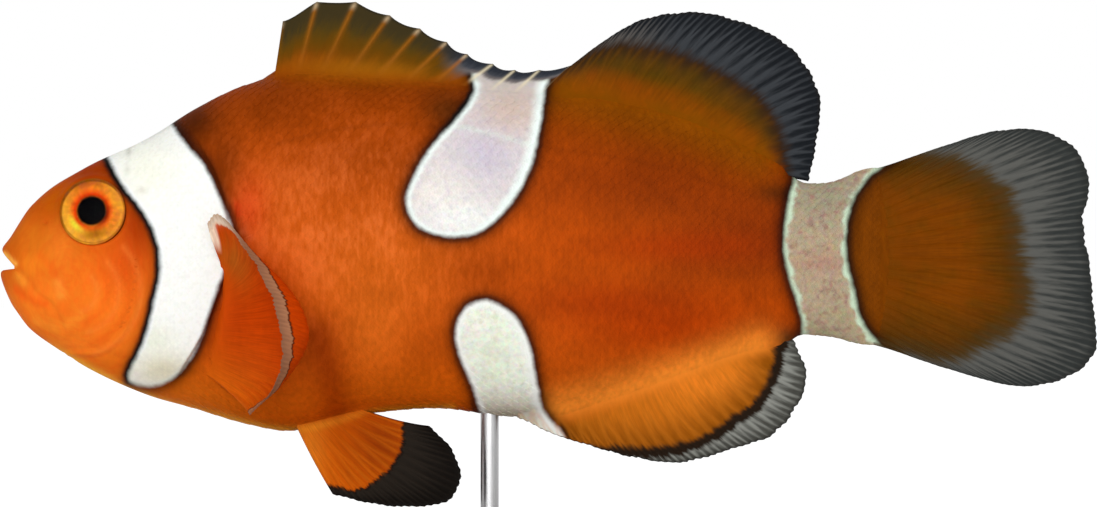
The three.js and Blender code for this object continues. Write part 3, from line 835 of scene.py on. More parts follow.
def mouth_rings():
    """Main rings from the head round the lips into the mouth."""
    side = np.abs(np.sin(TURNS)) ** (2 / SECTION_POWER)
    upper = np.abs(TURNS) < np.pi / 2
    bow = side**2.2
    rings = [SURFACE.at(start + bend * side**2, TURNS)[0] for start, bend in FIRST_RINGS]
    for top_s, top_back, low_s, low_back, out, top_h, top_fall, low_h, low_rise in LIP_RINGS:
        s = np.where(upper, top_s + top_back * bow, low_s + low_back * bow)
        h = np.where(upper, top_h + top_fall * side**2, low_h + low_rise * side**2)
        rings.append(np.stack([s, np.sign(np.sin(TURNS)) * out * side, h], axis=-1))
    return np.array(rings)


def build_skin():
    """One closed skin from the back of the mouth over the lips to the tail's root."""
    main = mouth_rings()
    mouth = catmull_rom(np.concatenate([main, 2 * main[-1:] - main[-2:-1]]), MOUTH_STEPS)
    rings = np.concatenate([mouth[::-1], ring_points(RINGS[1:])])
    rows = len(rings)
    faces, corners = grid(rows, AROUND, closed=True)
    points = rings.reshape(-1, 3)
    ends = [list(range(AROUND))[::-1], list(range((rows - 1) * AROUND, rows * AROUND))]
    inward = np.repeat(np.arange(rows) < INNER_RINGS, AROUND)
    add_mesh(
        "fish_skin", points, faces.tolist() + ends, spare_corners(corners, 2 * AROUND), "skin", SKIN,
        ("head", "upper_jaw", "lower_jaw", "gill_cover_left", "gill_cover_right", "trunk", "tail_base"),
        # dark holds the painted shade inside the mouth
        dark=smooth(1.3, 2.4, points[:, 0]) * inward, **painted(points),
    )


build_skin()


# ---------------------------------------------------------------- the scales
# Two kinds of scale: the way from one to the next, their size, and how far their rear and root stand out.
BODY_SCALE = dict(pitch=0.92, length=1.5, width=1.04, rise=0.055, root=-0.02)
HEAD_SCALE = dict(pitch=0.62, length=1.05, width=0.72, rise=0.02, root=-0.03)
ALONG = np.array([0.0, 0.45, 0.8, 1.0])
ACROSS = np.array([-1.0, -0.55, 0.0, 0.55, 1.0])
FLAT_LENGTH, FLAT_HEIGHT = 80, 60     # the skin laid flat, which the bake sheet holds
PATCH = 0.003               # how wide each scale's patch of the bake sheet is
COAT_PARTING = 39.0         # where the flank's sheet of scales ends and the rear one starts
GILL_BARE, EYE_BARE = 1.1, 3.9        # how far from the gill's edge and the eye's middle scales start
FIN_BARE = 1.5              # how far down from a ridge with a fin the skin has no scales


def taper(s):
    """How the scales shrink towards the tail."""
    return 1 - 0.32 * smooth(40, 68, s)


def lattice(start, end, pitch, reach):
    """Places for scales in staggered rows: distance and way up from the widest line, and angle.

    The last part of the result says which of them lie on the body."""
    s = np.linspace(start, end, 2000)
    count = np.concatenate([[0], np.cumsum(np.diff(s) / (pitch * taper(s[:-1])))])
    rows = np.arange(-int(reach / pitch * 2), int(reach / pitch * 2) + 1)
    places = []
    for row in rows:
        steps = np.arange(int(count[-1])) + 0.5 * (row % 2)
        at = np.interp(steps, count, s)
        places.append(np.stack([at, row * 0.5 * pitch * taper(at)], axis=-1))
    places = np.concatenate(places)
    angle = SURFACE.angle_at(*places.T)
    return places, angle, (angle > 0.01) & (angle < np.pi - 0.01)


def border(rows, columns):
    """The places round the edge of a grid, in order."""
    index = np.arange(rows * columns).reshape(rows, columns)
    return np.concatenate([index[0], index[1:, -1], index[-1, -2::-1], index[-2:0:-1, 0]])


def scale_mesh(name, places, side, kind, rng):
    """One joined mesh of closed scales, each lying back from its place along the body."""
    count = len(places)
    jitter = rng.uniform(-1, 1, (count, 4))
    t, c = (part.ravel() for part in np.meshgrid(ALONG, ACROSS, indexing="ij"))
    size = (taper(places[:, 0]) * (1 + 0.06 * jitter[:, 0]))[:, None]
    x = kind["length"] * size * (t * (1 - 0.30 * c**2) + 0.03 * jitter[:, 1:2])
    y = 0.5 * kind["width"] * size * c * (0.72 + 0.28 * np.sin(np.pi * np.minimum(t * 1.25, 1)))
    s = places[:, :1] + x
    arc = places[:, 1:] + y + 0.02 * jitter[:, 2:3]
    root = kind["root"]
    lift = root + (kind["rise"] * (1 + 0.15 * jitter[:, 3:]) - root) * t**1.3 - 0.03 * c**2 * t
    angle = SURFACE.angle_at(s.ravel(), arc.ravel()).reshape(s.shape)
    point, normal = SURFACE.at(s, angle * side)
    top = point + normal * lift[..., None]
    rim = border(len(ALONG), len(ACROSS))
    low = point[:, rim] - normal[:, rim] * (0.06 - 0.02 * t[rim])[:, None]
    points = np.concatenate([top, top[:, rim], low], axis=1)
    each = points.shape[1]
    points = points.reshape(-1, 3)

    face, _ = grid(len(ALONG), len(ACROSS))
    loop = np.arange(len(rim))
    after = np.roll(loop, -1)
    upper, lower = len(t), len(t) + len(rim)
    walls = np.stack([upper + loop, lower + loop, lower + after, upper + after], axis=-1)
    floor = lower + loop
    if side > 0:
        quads = np.concatenate([face[:, ::-1], walls])
    else:
        quads = np.concatenate([face, walls[:, ::-1]])
        floor = floor[::-1]
    starts = np.arange(count)[:, None] * each
    quads = (quads + starts[..., None]).reshape(-1, 4)
    floor = floor + starts

    flat = np.stack([places[:, 0] / FLAT_LENGTH, 0.5 + places[:, 1] / FLAT_HEIGHT], axis=-1)[:, None]
    local = np.stack([t - 0.5, c / 2], axis=-1) * PATCH
    sheet = (flat + np.concatenate([local, local[rim], local[rim]])).reshape(-1, 2)
    corners = sheet[np.concatenate([quads.ravel(), floor.ravel()])]
    edge = t - 0.12 * (1 - c**2)
    edge = np.tile(np.concatenate([edge, edge[rim], edge[rim]]), count)
    seed = np.repeat(rng.uniform(0, 1, count), each)
    faces = quads.tolist() + floor.tolist()
    add_mesh(name, points, faces, corners, "skin", SCALE, edge=edge, seed=seed, **painted(points))


def body_places():
    """Where scales grow behind the gill opening. The ridges under the fins have none."""
    places, angle, kept = lattice(14, 71.7, BODY_SCALE["pitch"], 26)
    s = places[:, 0]
    kept &= s > gill_s(plain_body(s, angle)[:, 2]) + 0.25
    x, _, z = SURFACE.at(s, angle)[0].T
    finned = (SURFACE.crest(x, 1) - z < FIN_BARE) & (x > BACK_FIN_START)
    finned |= (z - SURFACE.crest(x, -1) < FIN_BARE) & (x > ANAL_FIN_START)
    return places[kept & (~finned | (x > STALK_START))]


def head_places():
    """Where the finer scales of the gill cover and the nape grow, clear of the eye and the face."""
    places, angle, kept = lattice(5, 19, HEAD_SCALE["pitch"], 22)
    s = places[:, 0]
    h = plain_body(s, angle)[:, 2]
    kept &= (s < gill_s(h) - GILL_BARE) & (np.hypot(s - EYE_S - 0.5, h - EYE_H) > EYE_BARE)
    kept &= s > np.where(h > 2, 8.0 - 0.35 * (h - 7), 7.6 + 0.45 * np.abs(h + 2.5))
    kept &= distance_to(np.stack([s, h], axis=-1), CHEEK_EDGE.points) > 0.8
    return places[kept]


def build_scales():
    """The scales of both sides, each side in three sheets."""
    rng = np.random.default_rng(5)
    body, head = body_places(), head_places()
    front = body[:, 0] < COAT_PARTING
    for side, name in ((-1, "left"), (1, "right")):
        scale_mesh("coat_flank_" + name, body[front], side, BODY_SCALE, rng)
        scale_mesh("coat_rear_" + name, body[~front], side, BODY_SCALE, rng)
        scale_mesh("coat_head_" + name, head, side, HEAD_SCALE, rng)


build_scales()


# ---------------------------------------------------------------- the fins
SEAT_DEPTH = 1.6            # how deep a fin is set into the ridge of the back or the belly
SHOULDER = 1.0              # the depth at which it has widened to the skin


def fork(x, u):
    """How far a place lies from the nearest ray, in ray spacings. Rays fork twice on the way out."""
    gap = np.abs(x - np.round(x))
    gap = np.abs(gap - 0.25 * smooth(0.25, 0.7, u))
    return np.abs(gap - 0.125 * smooth(0.55, 0.95, u))


def seat_share(start, end, seat):
    """How far along each ray it comes to lie at the seat's depth under the ridge."""
    shares = np.linspace(0, 0.8, 80)
    along = start[:, None] + (end - start)[:, None] * shares[:, None]
    sunk = seat * (SURFACE.crest(along[..., 0], seat) - along[..., 2])
    first = np.argmax(sunk <= SEAT_DEPTH, axis=1)
    last = np.maximum(first - 1, 0)
    ray = np.arange(len(start))
    over = (sunk[ray, last] - SEAT_DEPTH).clip(0)
    under = (SEAT_DEPTH - sunk[ray, first]).clip(1e-6)
    return shares[last] + (shares[first] - shares[last]) * over / (over + under)


def in_space(points):
    """Points as distance, way out and height. Those of two numbers lie in the fish's middle plane."""
    return [(p[0], 0, p[1]) if len(p) == 2 else tuple(p) for p in points]


def teeth(v, rays, notch, uneven, spines):
    """How far the web's edge falls short of the rays' tips, all along it."""
    at = v * rays
    between = np.abs(np.sin(np.pi * at))
    if spines:
        depth = notch * between ** 0.8
    else:
        depth = notch * (0.45 * between + 4.4 * fork(at, np.ones(len(v))))
    return depth * (1 + uneven * np.sin(at * 2.1 + 1.3 * np.sin(at * 5.3)))


def ray_ridges(ray_v, u, spines):
    """1 along each ray or spine and 0 between them."""
    if spines:
        return bump(np.abs(ray_v - np.round(ray_v)), 0.085 * (1.1 - 0.5 * u))
    return bump(fork(ray_v, u), 0.13 - 0.075 * smooth(0.3, 0.95, u))


def half_thickness(thick, u, ridge, rooted, spines):
    """Half of a fin's thickness, which its rays or spines stand out from."""
    across = 0.5 * (thick[0] + (thick[1] - thick[0]) * u ** 0.6)
    if spines:
        return across * (1 - 0.5 * rooted * (1 - ridge)) + 0.16 * ridge * rooted * (1 - u) ** 0.5
    depth = rooted * (0.12 + 0.3 * smooth(0.1, 0.9, u))
    return across * (1 - depth + depth * ridge)


def flare(across, centre, clear, seat):
    """How much wider a seated fin is below the ridge, where it meets the skin."""
    steps = SURFACE.s[::4]
    shoulder = SURFACE.shoulder(steps, seat, SHOULDER)
    width, growth = (np.interp(centre[..., 0], steps, each) for each in shoulder)
    more = (width - across - 0.005).clip(0.05)
    fall = (more / growth).clip(0.3, 1.3)
    return more * np.exp(-(clear + SHOULDER).clip(0) / fall)


def closed_sheet(centre, thickness, side):
    """Points, faces and bake corners of a sheet with a thickness, closed all round."""
    columns, rows = centre.shape[:2]
    loop = np.concatenate([centre + thickness, (centre - thickness)[:, ::-1]], axis=1)
    loop[..., 1] *= side
    points = loop.reshape(-1, 3)
    faces, corners = grid(columns, 2 * rows, closed=True)
    low = np.arange(rows - 1)
    high = 2 * rows - 1 - low
    cap = np.stack([low, low + 1, high - 1, high], axis=-1)
    faces = np.concatenate([faces, cap, cap[:, ::-1] + (columns - 1) * 2 * rows])
    corners = spare_corners(corners, 8 * len(cap))
    if not faces_out(points, faces, 0):
        faces, corners = faces[:, ::-1], corners.reshape(-1, 4, 2)[:, ::-1].reshape(-1, 2)
    return points, faces.tolist(), corners


def both_sides(value):
    """Values of a fin's middle sheet for its near side and, in turned order, its far side."""
    return np.concatenate([value, value[:, ::-1]], axis=1)


def fin_piece(name, node, root, edge, rays, colours, bend=None, notch=0.2, thick=(0.9, 0.16), size=(300, 70),
              spines=False, wave=0.0, seat=0, side=1, uneven=0.0, lead=1.0, curl=0.0):
    """A fin from its root line to its edge, with rays that stand out of its web.

    A seat of 1 or -1 sets it into the back's or the belly's ridge. The rays bend over the bend's line,
    or else have a slight curl. With spines, the lines have one point for each spine. The notch is how deep
    the edge is cut between rays, thick is the thickness at the root and at the edge, and size is how many
    points the sheet has along the root and outwards. A lead below 1 starts the fin thin, inside the body."""
    columns, rows = size
    v = np.linspace(0, 1, columns)
    v2, u2 = np.meshgrid(v, np.sin(np.linspace(0, np.pi / 2, rows)) ** 0.9, indexing="ij")
    start, end = (Curve(in_space(line), spines).at(v) for line in (root, edge))
    if seat:
        start = start + (end - start) * seat_share(start, end, seat)[:, None]
    start, end = start[:, None], end[:, None]
    reach = np.linalg.norm(end - start, axis=-1, keepdims=True)
    share = u2[..., None] * (1 - teeth(v, rays, notch, uneven, spines)[:, None, None] / np.maximum(reach, 1))
    if bend is None:
        way = end - start
        across = np.stack([way[..., 2], 0 * way[..., 1], -way[..., 0]], axis=-1)
        centre = start + way * share + 2 * curl * across * share * (1 - share)
    else:
        middle = Curve(bend).at(v)[:, None]
        centre = start * (1 - share) ** 2 + middle * 2 * share * (1 - share) + end * share**2
    steps = np.linalg.norm(np.diff(centre, axis=1), axis=-1)
    path = np.concatenate([np.zeros((columns, 1)), np.cumsum(steps, axis=1)], axis=1)
    out = cross_of(centre)
    ridge = ray_ridges(v2 * rays, u2, spines)
    if seat:
        clear = seat * (centre[..., 2] - SURFACE.crest(centre[..., 0], seat))
        textured = smooth(-0.6, 0.9, clear)
    else:
        clear = path
        textured = smooth(1 - lead, 5.5 - 3 * lead, clear)
    across = half_thickness(thick, u2, ridge, smooth(0, 2.6, clear), spines)
    if seat:
        across += flare(across, centre, clear, seat)
    else:
        across *= lead + (1 - lead) * smooth(0, 2.5, path)
    ends = smooth(0, 0.012, v2) * smooth(1, 0.988, v2)
    across *= (1 - 0.6 * smooth(0.96, 1, u2)) * (1 - (0.1 if spines else 0.65) * (1 - ends))
    centre = centre + out * (wave * np.sin(v2 * 9 + u2 * 2) * u2**2)[..., None]
    points, faces, corners = closed_sheet(centre, out * across[..., None], side)
    weave = both_sides(np.stack([v2 * rays, path, 0 * u2], axis=-1)).reshape(-1, 3)
    place = {"v": v2, "u": u2, "path": clear, "gap": path[:, -1:] - path}
    values = {"ray": ridge ** 0.6, "out": u2, "textured": textured}
    for group in (place, values):
        group.update({key: both_sides(each).ravel() for key, each in group.items()})
    values |= colours(points[:, 0], points[:, 2], **place)
    add_mesh(name, points, faces, corners, "fin", FIN, (node,), weave=weave, **values)


def fin_material(name):
    """Web, bars, a dark border and a streaked fringe past it, and rays over them all."""
    shader = Shader(name, Specular_IOR_Level=0.02)
    weave = shader.colour("weave")
    ray, textured, soft = (shader.value(key) for key in ("ray", "textured", "soft"))
    streaks = shader.noise(1.0, shader.scaled(weave, (2.2, 0.3, 1)), detail=3, rough=0.6)
    fine = shader.noise(1.0, shader.scaled(weave, (7.0, 0.35, 1)), detail=3, rough=0.65)

    lines = shader.product(shader.step(fine, 0.3, 0.7, -0.14, 0.12), textured)
    ground = shader.gained(mottled(shader, shader.colour("ground"), 0.12), shader.sum(lines, 1.0))
    patches = shader.step(shader.noise(0.4 * PER_MM, detail=4, rough=0.6), 0.42, 0.62)
    ground = shader.mix(shader.product(patches, shader.value("olive")), ground, OLIVE, "MULTIPLY")
    colour = with_bars(shader, ground)

    ragged = shader.swing(streaks, shader.value("ragged"))
    frayed = shader.swing(fine, shader.value("frayed"))
    past = shader.sum(shader.sum(shader.value("fringe"), ragged), frayed)
    bordered = shader.step(past, shader.product(soft, -1.6), shader.product(soft, 0.3))
    colour = shader.mix(bordered, colour, shader.colour("border"))
    streak = shader.difference(shader.sum(shader.product(ray, 0.45), fine), 0.72)
    outward = shader.difference(shader.value("outward"), shader.product(streak, shader.value("streaky")))
    outward = shader.step(outward, 0.0, 1.0)
    fringe = shader.mix(outward, shader.colour("fringe_pale"), shader.colour("fringe_dark"))
    past_line = shader.difference(past, shader.value("line"))
    colour = shader.mix(shader.step(past_line, shader.product(soft, -0.4), soft), colour, fringe)

    colour = shader.mix(shader.product(ray, shader.value("contrast")), colour, shader.colour("rays"))
    tip = shader.product(shader.step(shader.value("out"), 0.955, 0.998), shader.value("tip"))
    colour = shader.mix(tip, colour, linear(30, 28, 26))
    weft = shader.product(shader.sum(shader.product(fine, 0.5), streaks), textured)
    return shader.finish(colour, 0.5, shader.bump(weft, 0.00004, 0.6))


FIN = fin_material("clownfish_fins")

# How a fin looks where its own colours don't say otherwise: where the fringe starts past the border, how
# soft that change is, how far streaks and fine lines move it, how streaked the fringe is, how dark the tips
# of the rays are and how olive the web is. Each can also be a function of the distance and of the way out.
FIN_LOOK = dict(line=0.0, soft=0.5, ragged=1.2, frayed=0.5, streaky=0.8, tip=0.6, olive=0.0)


def shade_at(s, colour):
    """Linear colours for a display colour, or for a function of the distance."""
    return colour(s) if callable(colour) else filled(s.shape, colour)


def fin_colours(ground, fringe, dark, pale, border, rays, contrast=0.2, washes=None, bars=(), base=0.0,
                blend=2.4, near_edge=None, fade_end=0.0, first_ray=None, **look):
    """A function giving a fin's values at distances and heights.

    The fringe function gives how far past the fringe's start a place is. From base on, the web turns from the
    body's colours to its own over a way out of blend, but fade_end holds it back at the last rays. The web
    turns to near_edge's colour over its reach before the fringe. Where the contrast is a function, so is the
    colour of the rays."""
    def colours(s, h, v, u, path, gap):
        marked = markings(s, h, bars)
        past = fringe(s, h, gap)
        web = washed(filled(s.shape, ground), s, h, washes or {})
        if near_edge:
            shade, reach = near_edge
            web = tinted(web, shade, smooth(-reach, 0, past))
        root = body_ground(s, h)
        share = smooth(base, base + blend, path) * (1 - fade_end * smooth(0.72, 0.98, v))
        web = root + (web - root) * share[:, None]
        if first_ray:
            shade, width, start = first_ray
            web = tinted(web, shade, smooth(width * 1.3, width * 0.8, v) * smooth(start, start + 0.3, u))
        if callable(contrast):
            ray_colour, ray_share = rays(gap, marked["bar"]), contrast(s, u)
        else:
            ray_colour = filled(s.shape, rays)
            ray_share = contrast * smooth(0.1, 0.6, u) * smooth(0.2, -0.4, past)
        looks = {key: np.zeros(len(s)) + (value(s, path) if callable(value) else value)
                 for key, value in (FIN_LOOK | look).items()}
        return dict(
            marked, ground=shaded(web, s, marked["bar"]), grain=np.full(len(s), 0.5), fringe=past,
            outward=np.clip(past / (past.clip(0) + gap + 0.05), 0, 1), rays=ray_colour, contrast=ray_share,
            border=shade_at(s, border), fringe_dark=shade_at(s, dark), fringe_pale=shade_at(s, pale), **looks,
        )
    return colours


def turning(first, last, start, end):
    """A function giving a colour that turns into another along the fish."""
    return lambda s: tinted(filled(s.shape, first), last, smooth(start, end, s))


def beyond(*outline):
    """A function giving how far outside a closed outline a place lies."""
    shape = closed_curve(*outline)
    return lambda s, h, gap: -signed_distance(np.stack([s, h], axis=-1), shape)


def within(*widths):
    """A function giving how far into a band along the free edge a place lies, from widths at distances."""
    return lambda s, h, gap: np.interp(s, *np.array(widths).T) - gap


def spine_colour(gap, bar):
    """Tan spines whose tips are cream, as they are where they cross the pale bar."""
    pale = np.maximum(0.5 * smooth(0.9, 0.3, gap), 0.9 * smooth(-0.5, 0.0, bar))
    return tinted(filled(gap.shape, (166, 98, 26)), (246, 234, 196), pale)


def build_spiny_fin():
    """The first back fin, with its eleven spines. Past the sixth its edge turns from olive to blue grey."""
    tips = [(23.2, 19.1), (26.0, 20.7), (29.2, 20.7), (32.0, 19.6), (34.5, 18.5), (36.7, 17.4), (38.4, 16.4),
            (40.5, 15.6), (42.3, 15.1), (44.3, 15.1), (47.0, 15.5)]
    roots = [(22.3, 13.0), (24.0, 13.0), (25.5, 12.9), (27.2, 12.8), (29.4, 12.7), (31.8, 12.6), (34.0, 12.5),
             (36.0, 12.3), (38.8, 12.1), (40.8, 11.9), (43.2, 11.7)]
    colours = fin_colours(
        (101, 63, 0), within((23, 2.7), (26, 3.4), (30, 3.1), (34, 2.3), (37, 1.5), (39, 1.15), (45, 1.05)),
        dark=turning((60, 50, 26), (42, 46, 54), 35, 38.5),
        pale=turning((86, 64, 10), (78, 80, 86), 35, 38.5),
        border=turning((100, 64, 4), (104, 98, 98), 36, 38.5), rays=spine_colour,
        contrast=lambda s, u: 0.62 * smooth(0.02, 0.7, u) * smooth(22.2, 24.2, s),
        olive=lambda s, path: 0.95 * smooth(0.6, 2.4, path),
        soft=lambda s, path: 1.2 - 0.95 * smooth(36, 39, s),
        ragged=lambda s, path: 2.2 - 1.8 * smooth(36, 38.5, s),
        frayed=lambda s, path: 0.9 - 0.6 * smooth(36, 38.5, s),
        line=0.1, streaky=1.0, tip=0.5, bars=["upper"], base=-0.9, blend=3.4,
        washes={"base": (30, 14.5, 14, 1.2, (134, 75, 3), 0.95)},
    )
    fin_piece("fin_dorsal_spiny", "dorsal_fin_spiny", roots, tips, len(tips) - 1, colours,
              notch=0.28, thick=(1.0, 0.3), size=(320, 60), spines=True, seat=1)


def build_soft_fin():
    """The second back fin: olive orange, with a deep blue-black edge and one pale first ray."""
    edge = [(46.75, 15.35), (49.6, 17.5), (52.8, 19.3), (57.2, 19.9), (61.6, 18.9), (65.2, 16.8),
            (67.3, 13.4), (67.3, 10), (66.5, 5.9)]
    fringe = beyond((40, 6), (41, 12.5), (46.4, 15.3), (49.1, 16.7), (52.2, 17.0), (55.4, 16.4), (58.4, 15.1),
                    (61.6, 13.2), (63.6, 11.0), (64.1, 9.0), (64.1, 3), (52, 0))
    colours = fin_colours(
        (95, 61, 0), fringe, dark=(25, 28, 32), pale=turning((88, 84, 80), (58, 61, 65), 50, 56),
        border=(50, 32, 18), rays=(128, 77, 2), line=0.1, soft=0.8, ragged=1.3, frayed=1.1, streaky=1.7,
        olive=0.4, washes={"base": (54, 10.6, 12, 2.2, (129, 66, 0), 0.9)}, near_edge=((72, 48, 12), 3.4),
        bars=["upper"], first_ray=((240, 226, 186), 0.011, 0.05),
    )
    root = [(43.4, 12.0), (54.5, 10.2), (62.8, 6.2)]
    fin_piece("fin_dorsal_soft", "dorsal_fin_soft", root, edge, 14, colours,
              thick=(0.95, 0.16), size=(360, 80), wave=0.12, seat=1, uneven=0.3, curl=-0.09)


def build_anal_fin():
    """The fin below, golden with a black line and a grey edge."""
    edge = [(42.5, -13.55), (43.8, -14.15), (45.2, -14.8), (48.6, -15.9), (52.4, -16.9), (56.4, -17.2),
            (60.2, -16.1), (63.6, -14.9), (65.7, -12.3), (66.3, -9.7), (65.3, -7.1)]
    fringe = beyond((40, -8), (40, -14.0), (43.5, -15.2), (48.6, -15.9), (53.6, -16.1), (57.7, -15.2),
                    (60.1, -13.6), (61.8, -12.4), (63.1, -10.7), (63.7, -8.7), (63.7, -4), (52, 0))
    colours = fin_colours(
        (206, 112, 22), fringe, dark=(72, 72, 67), pale=(143, 145, 138), border=(38, 27, 18),
        rays=(228, 132, 34), contrast=0.25, line=0.62, soft=0.3, ragged=1.3, frayed=0.8, streaky=1.2,
        bars=["lower"], base=-0.8, blend=1.6, near_edge=((142, 76, 6), 3.4),
        washes={"base": (56, -10.4, 12, 1.6, (236, 130, 34), 0.9)},
    )
    fin_piece("fin_anal", "anal_fin", [(42.2, -12.0), (52, -9.6), (62.6, -6.0)], edge, 13, colours,
              thick=(0.95, 0.16), size=(340, 70), wave=0.1, seat=-1, uneven=0.4, curl=0.17)


def build_tail_fin():
    """The tail fin, brown with a broad grey edge that darkens outwards."""
    edge = [(72.6, 7.15), (77.8, 8.95), (82.0, 10.15), (85.8, 10.1), (88.4, 8.7), (89.6, 5.6), (89.1, 3.0),
            (89.6, -1.0), (90.0, -4.9), (90.0, -8.2), (87.8, -10.2), (83.9, -10.95), (78, -9.55),
            (73.0, -7.85)]
    fringe = beyond((66, 9), (76.5, 8.0), (79.7, 7.1), (82.3, 5.3), (83.4, 3.3), (83.8, 0), (84.4, -3.2),
                    (83.6, -5.75), (81.5, -7), (78.3, -8.5), (73, -7.9), (66, -8))
    colours = fin_colours(
        TAIL_BROWN, fringe, dark=(50, 53, 52), pale=(93, 93, 89), border=(74, 56, 28), rays=(104, 46, 0),
        contrast=0.16, line=0.15, soft=0.95, ragged=1.9, frayed=1.6, streaky=1.4, bars=["tail"],
        tip=0.35, near_edge=((84, 51, 6), 5.0), olive=0.4,
    )
    fin_piece("fin_tail", "tail_fin", [(71.0, 6.8), (71.0, 0), (71.0, -7.3)], edge, 22, colours,
              thick=(1.5, 0.16), size=(420, 90), wave=0.12, uneven=0.35, lead=0.25)


def build_pectoral_fin(name, side):
    """A fin that stands out behind the gill opening and folds back, with a pale edge."""
    root = np.array([(18.6, -1.4), (18.5, -3.2), (18.1, -5.4), (17.6, -7.6), (17.0, -9.8)])
    root = np.insert(root, 1, SURFACE.half_width(*root.T) - 0.3, axis=1)
    edge = [(17.2, 8.7, 2.5), (17.7, 9.0, 3.3), (18.6, 9.6, 2.9), (20.0, 10.6, 0.7), (21.3, 11.5, -1.2),
            (22.3, 12.2, -3.4), (23.1, 12.8, -6.0), (23.3, 13.0, -8.4), (22.7, 12.3, -10.8),
            (20.7, 9.6, -13.2)]
    fold = [(17.5, 8.2, 0.9), (19.8, 8.4, 0.6), (24.6, 8.8, -1.6), (28.8, 9.0, -4.6), (29.6, 8.8, -7.8),
            (25.6, 7.2, -10.8), (20.2, 4.9, -12.3)]
    colours = fin_colours(
        (200, 64, 0), within((17, 0.6), (18.6, 0.85), (20.3, 1.15), (22, 1.2), (30, 1.2)),
        dark=turning((196, 166, 140), (146, 98, 72), 18.2, 20.5),
        pale=turning((226, 206, 186), (176, 120, 86), 18.2, 20.5),
        border=turning((226, 196, 168), (84, 34, 12), 18.6, 20.4), rays=(190, 52, 0),
        contrast=0.25, line=0.08, soft=0.12, ragged=0.7, streaky=0.6, tip=0.0, blend=2.6, fade_end=0.9,
        first_ray=((252, 230, 204), 0.032, 0.32),
        washes={
            "upper rays": (17.7, 3.1, 0.8, 0.6, (252, 230, 204), 0.9),
            "upper web": (19.2, -0.8, 1.7, 2.6, (178, 90, 20), 0.95),
            "inner web": (18.8, -5.0, 1.4, 3.0, (160, 46, 0), 0.6),
            "lower web": (19.8, -9.8, 4.0, 3.0, (190, 76, 8), 0.85),
        },
    )
    fin_piece("fin_pectoral_" + name, "pectoral_fin_" + name, root, edge, 14, colours, bend=fold,
              notch=0.16, thick=(0.6, 0.14), size=(260, 90), side=side, uneven=0.6)


def build_pelvic_fin(name, side):
    """A fin under the breast, orange with a black outer half."""
    root = [(23.7, 1.3, -12.8), (26.0, 1.4, -12.6), (28.2, 1.3, -12.2)]
    edge = [(27.4, 3.3, -19.8), (30.4, 3.9, -20.5), (33.4, 4.0, -20.8), (36.9, 3.7, -20.3),
            (37.9, 3.3, -18.6), (37.2, 2.8, -16.2), (35.3, 2.2, -14.2)]
    fringe = beyond((20, -8), (20, -16), (25.5, -18.4), (29.2, -19.4), (31.5, -18.2), (32.5, -16.9),
                    (33.1, -15.4), (33.1, -13.6), (33, -8))
    colours = fin_colours(
        (204, 88, 2), fringe, dark=(19, 15, 12), pale=(40, 34, 28), border=(24, 18, 14), rays=(232, 122, 22),
        contrast=0.3, line=0.1, soft=0.14, ragged=1.0, frayed=0.6, tip=0.3, base=0.8, blend=2.0,
        washes={
            "leading edge": (25.4, -16.5, 1.3, 4.5, (236, 130, 30), 0.85),
            "rear half": (31.5, -15.6, 3.2, 3.4, (146, 54, 0), 0.92),
        },
    )
    fin_piece("fin_pelvic_" + name, "pelvic_fin_" + name, root, edge, 7, colours, size=(160, 70), side=side,
              bend=[(25.5, 2.1, -16.8), (29.5, 2.5, -16.6), (32.2, 2.1, -13.9)], thick=(0.8, 0.16))


build_spiny_fin()
build_soft_fin()
build_anal_fin()
build_tail_fin()
for fin_side, side_name in ((-1, "left"), (1, "right")):
    build_pectoral_fin(side_name, fin_side)
    build_pelvic_fin(side_name, fin_side)


# ---------------------------------------------------------------- turned pieces: the eyes and the stand
PUPIL, IRIS, EYE_RIM = 1.22, 2.54, 2.74
PUPIL_AHEAD = 0.07          # how far ahead of the eye's middle, and above it, the pupil lies
EYE_OUT = 4.0               # how far out the eye's middle lies
EYE_FLAT = 0.42             # how far out from that middle the flat iris lies
EYE_TURN, EYE_LIFT = 0.16, 0.14       # how far the eye looks forward and up, in radians


def eye_place(side):
    """A function that turns a radius, a turn and a way out into a place on an eye."""
    along = np.array([np.cos(EYE_TURN), np.sin(EYE_TURN), 0])
    level = np.array([-np.sin(EYE_TURN), np.cos(EYE_TURN), 0])
    away = level * np.cos(EYE_LIFT) + np.array([0, 0, np.sin(EYE_LIFT)])
    upward = np.cross(away, along)
    upward *= np.sign(upward[2])
    centre = np.array([EYE_S, EYE_OUT, EYE_H])

    def place(r, turn, out):
        x, z = r * np.cos(turn), r * np.sin(turn)
        points = centre + x[..., None] * along + z[..., None] * upward + out[..., None] * away
        points[..., 1] *= side
        return points
    return place


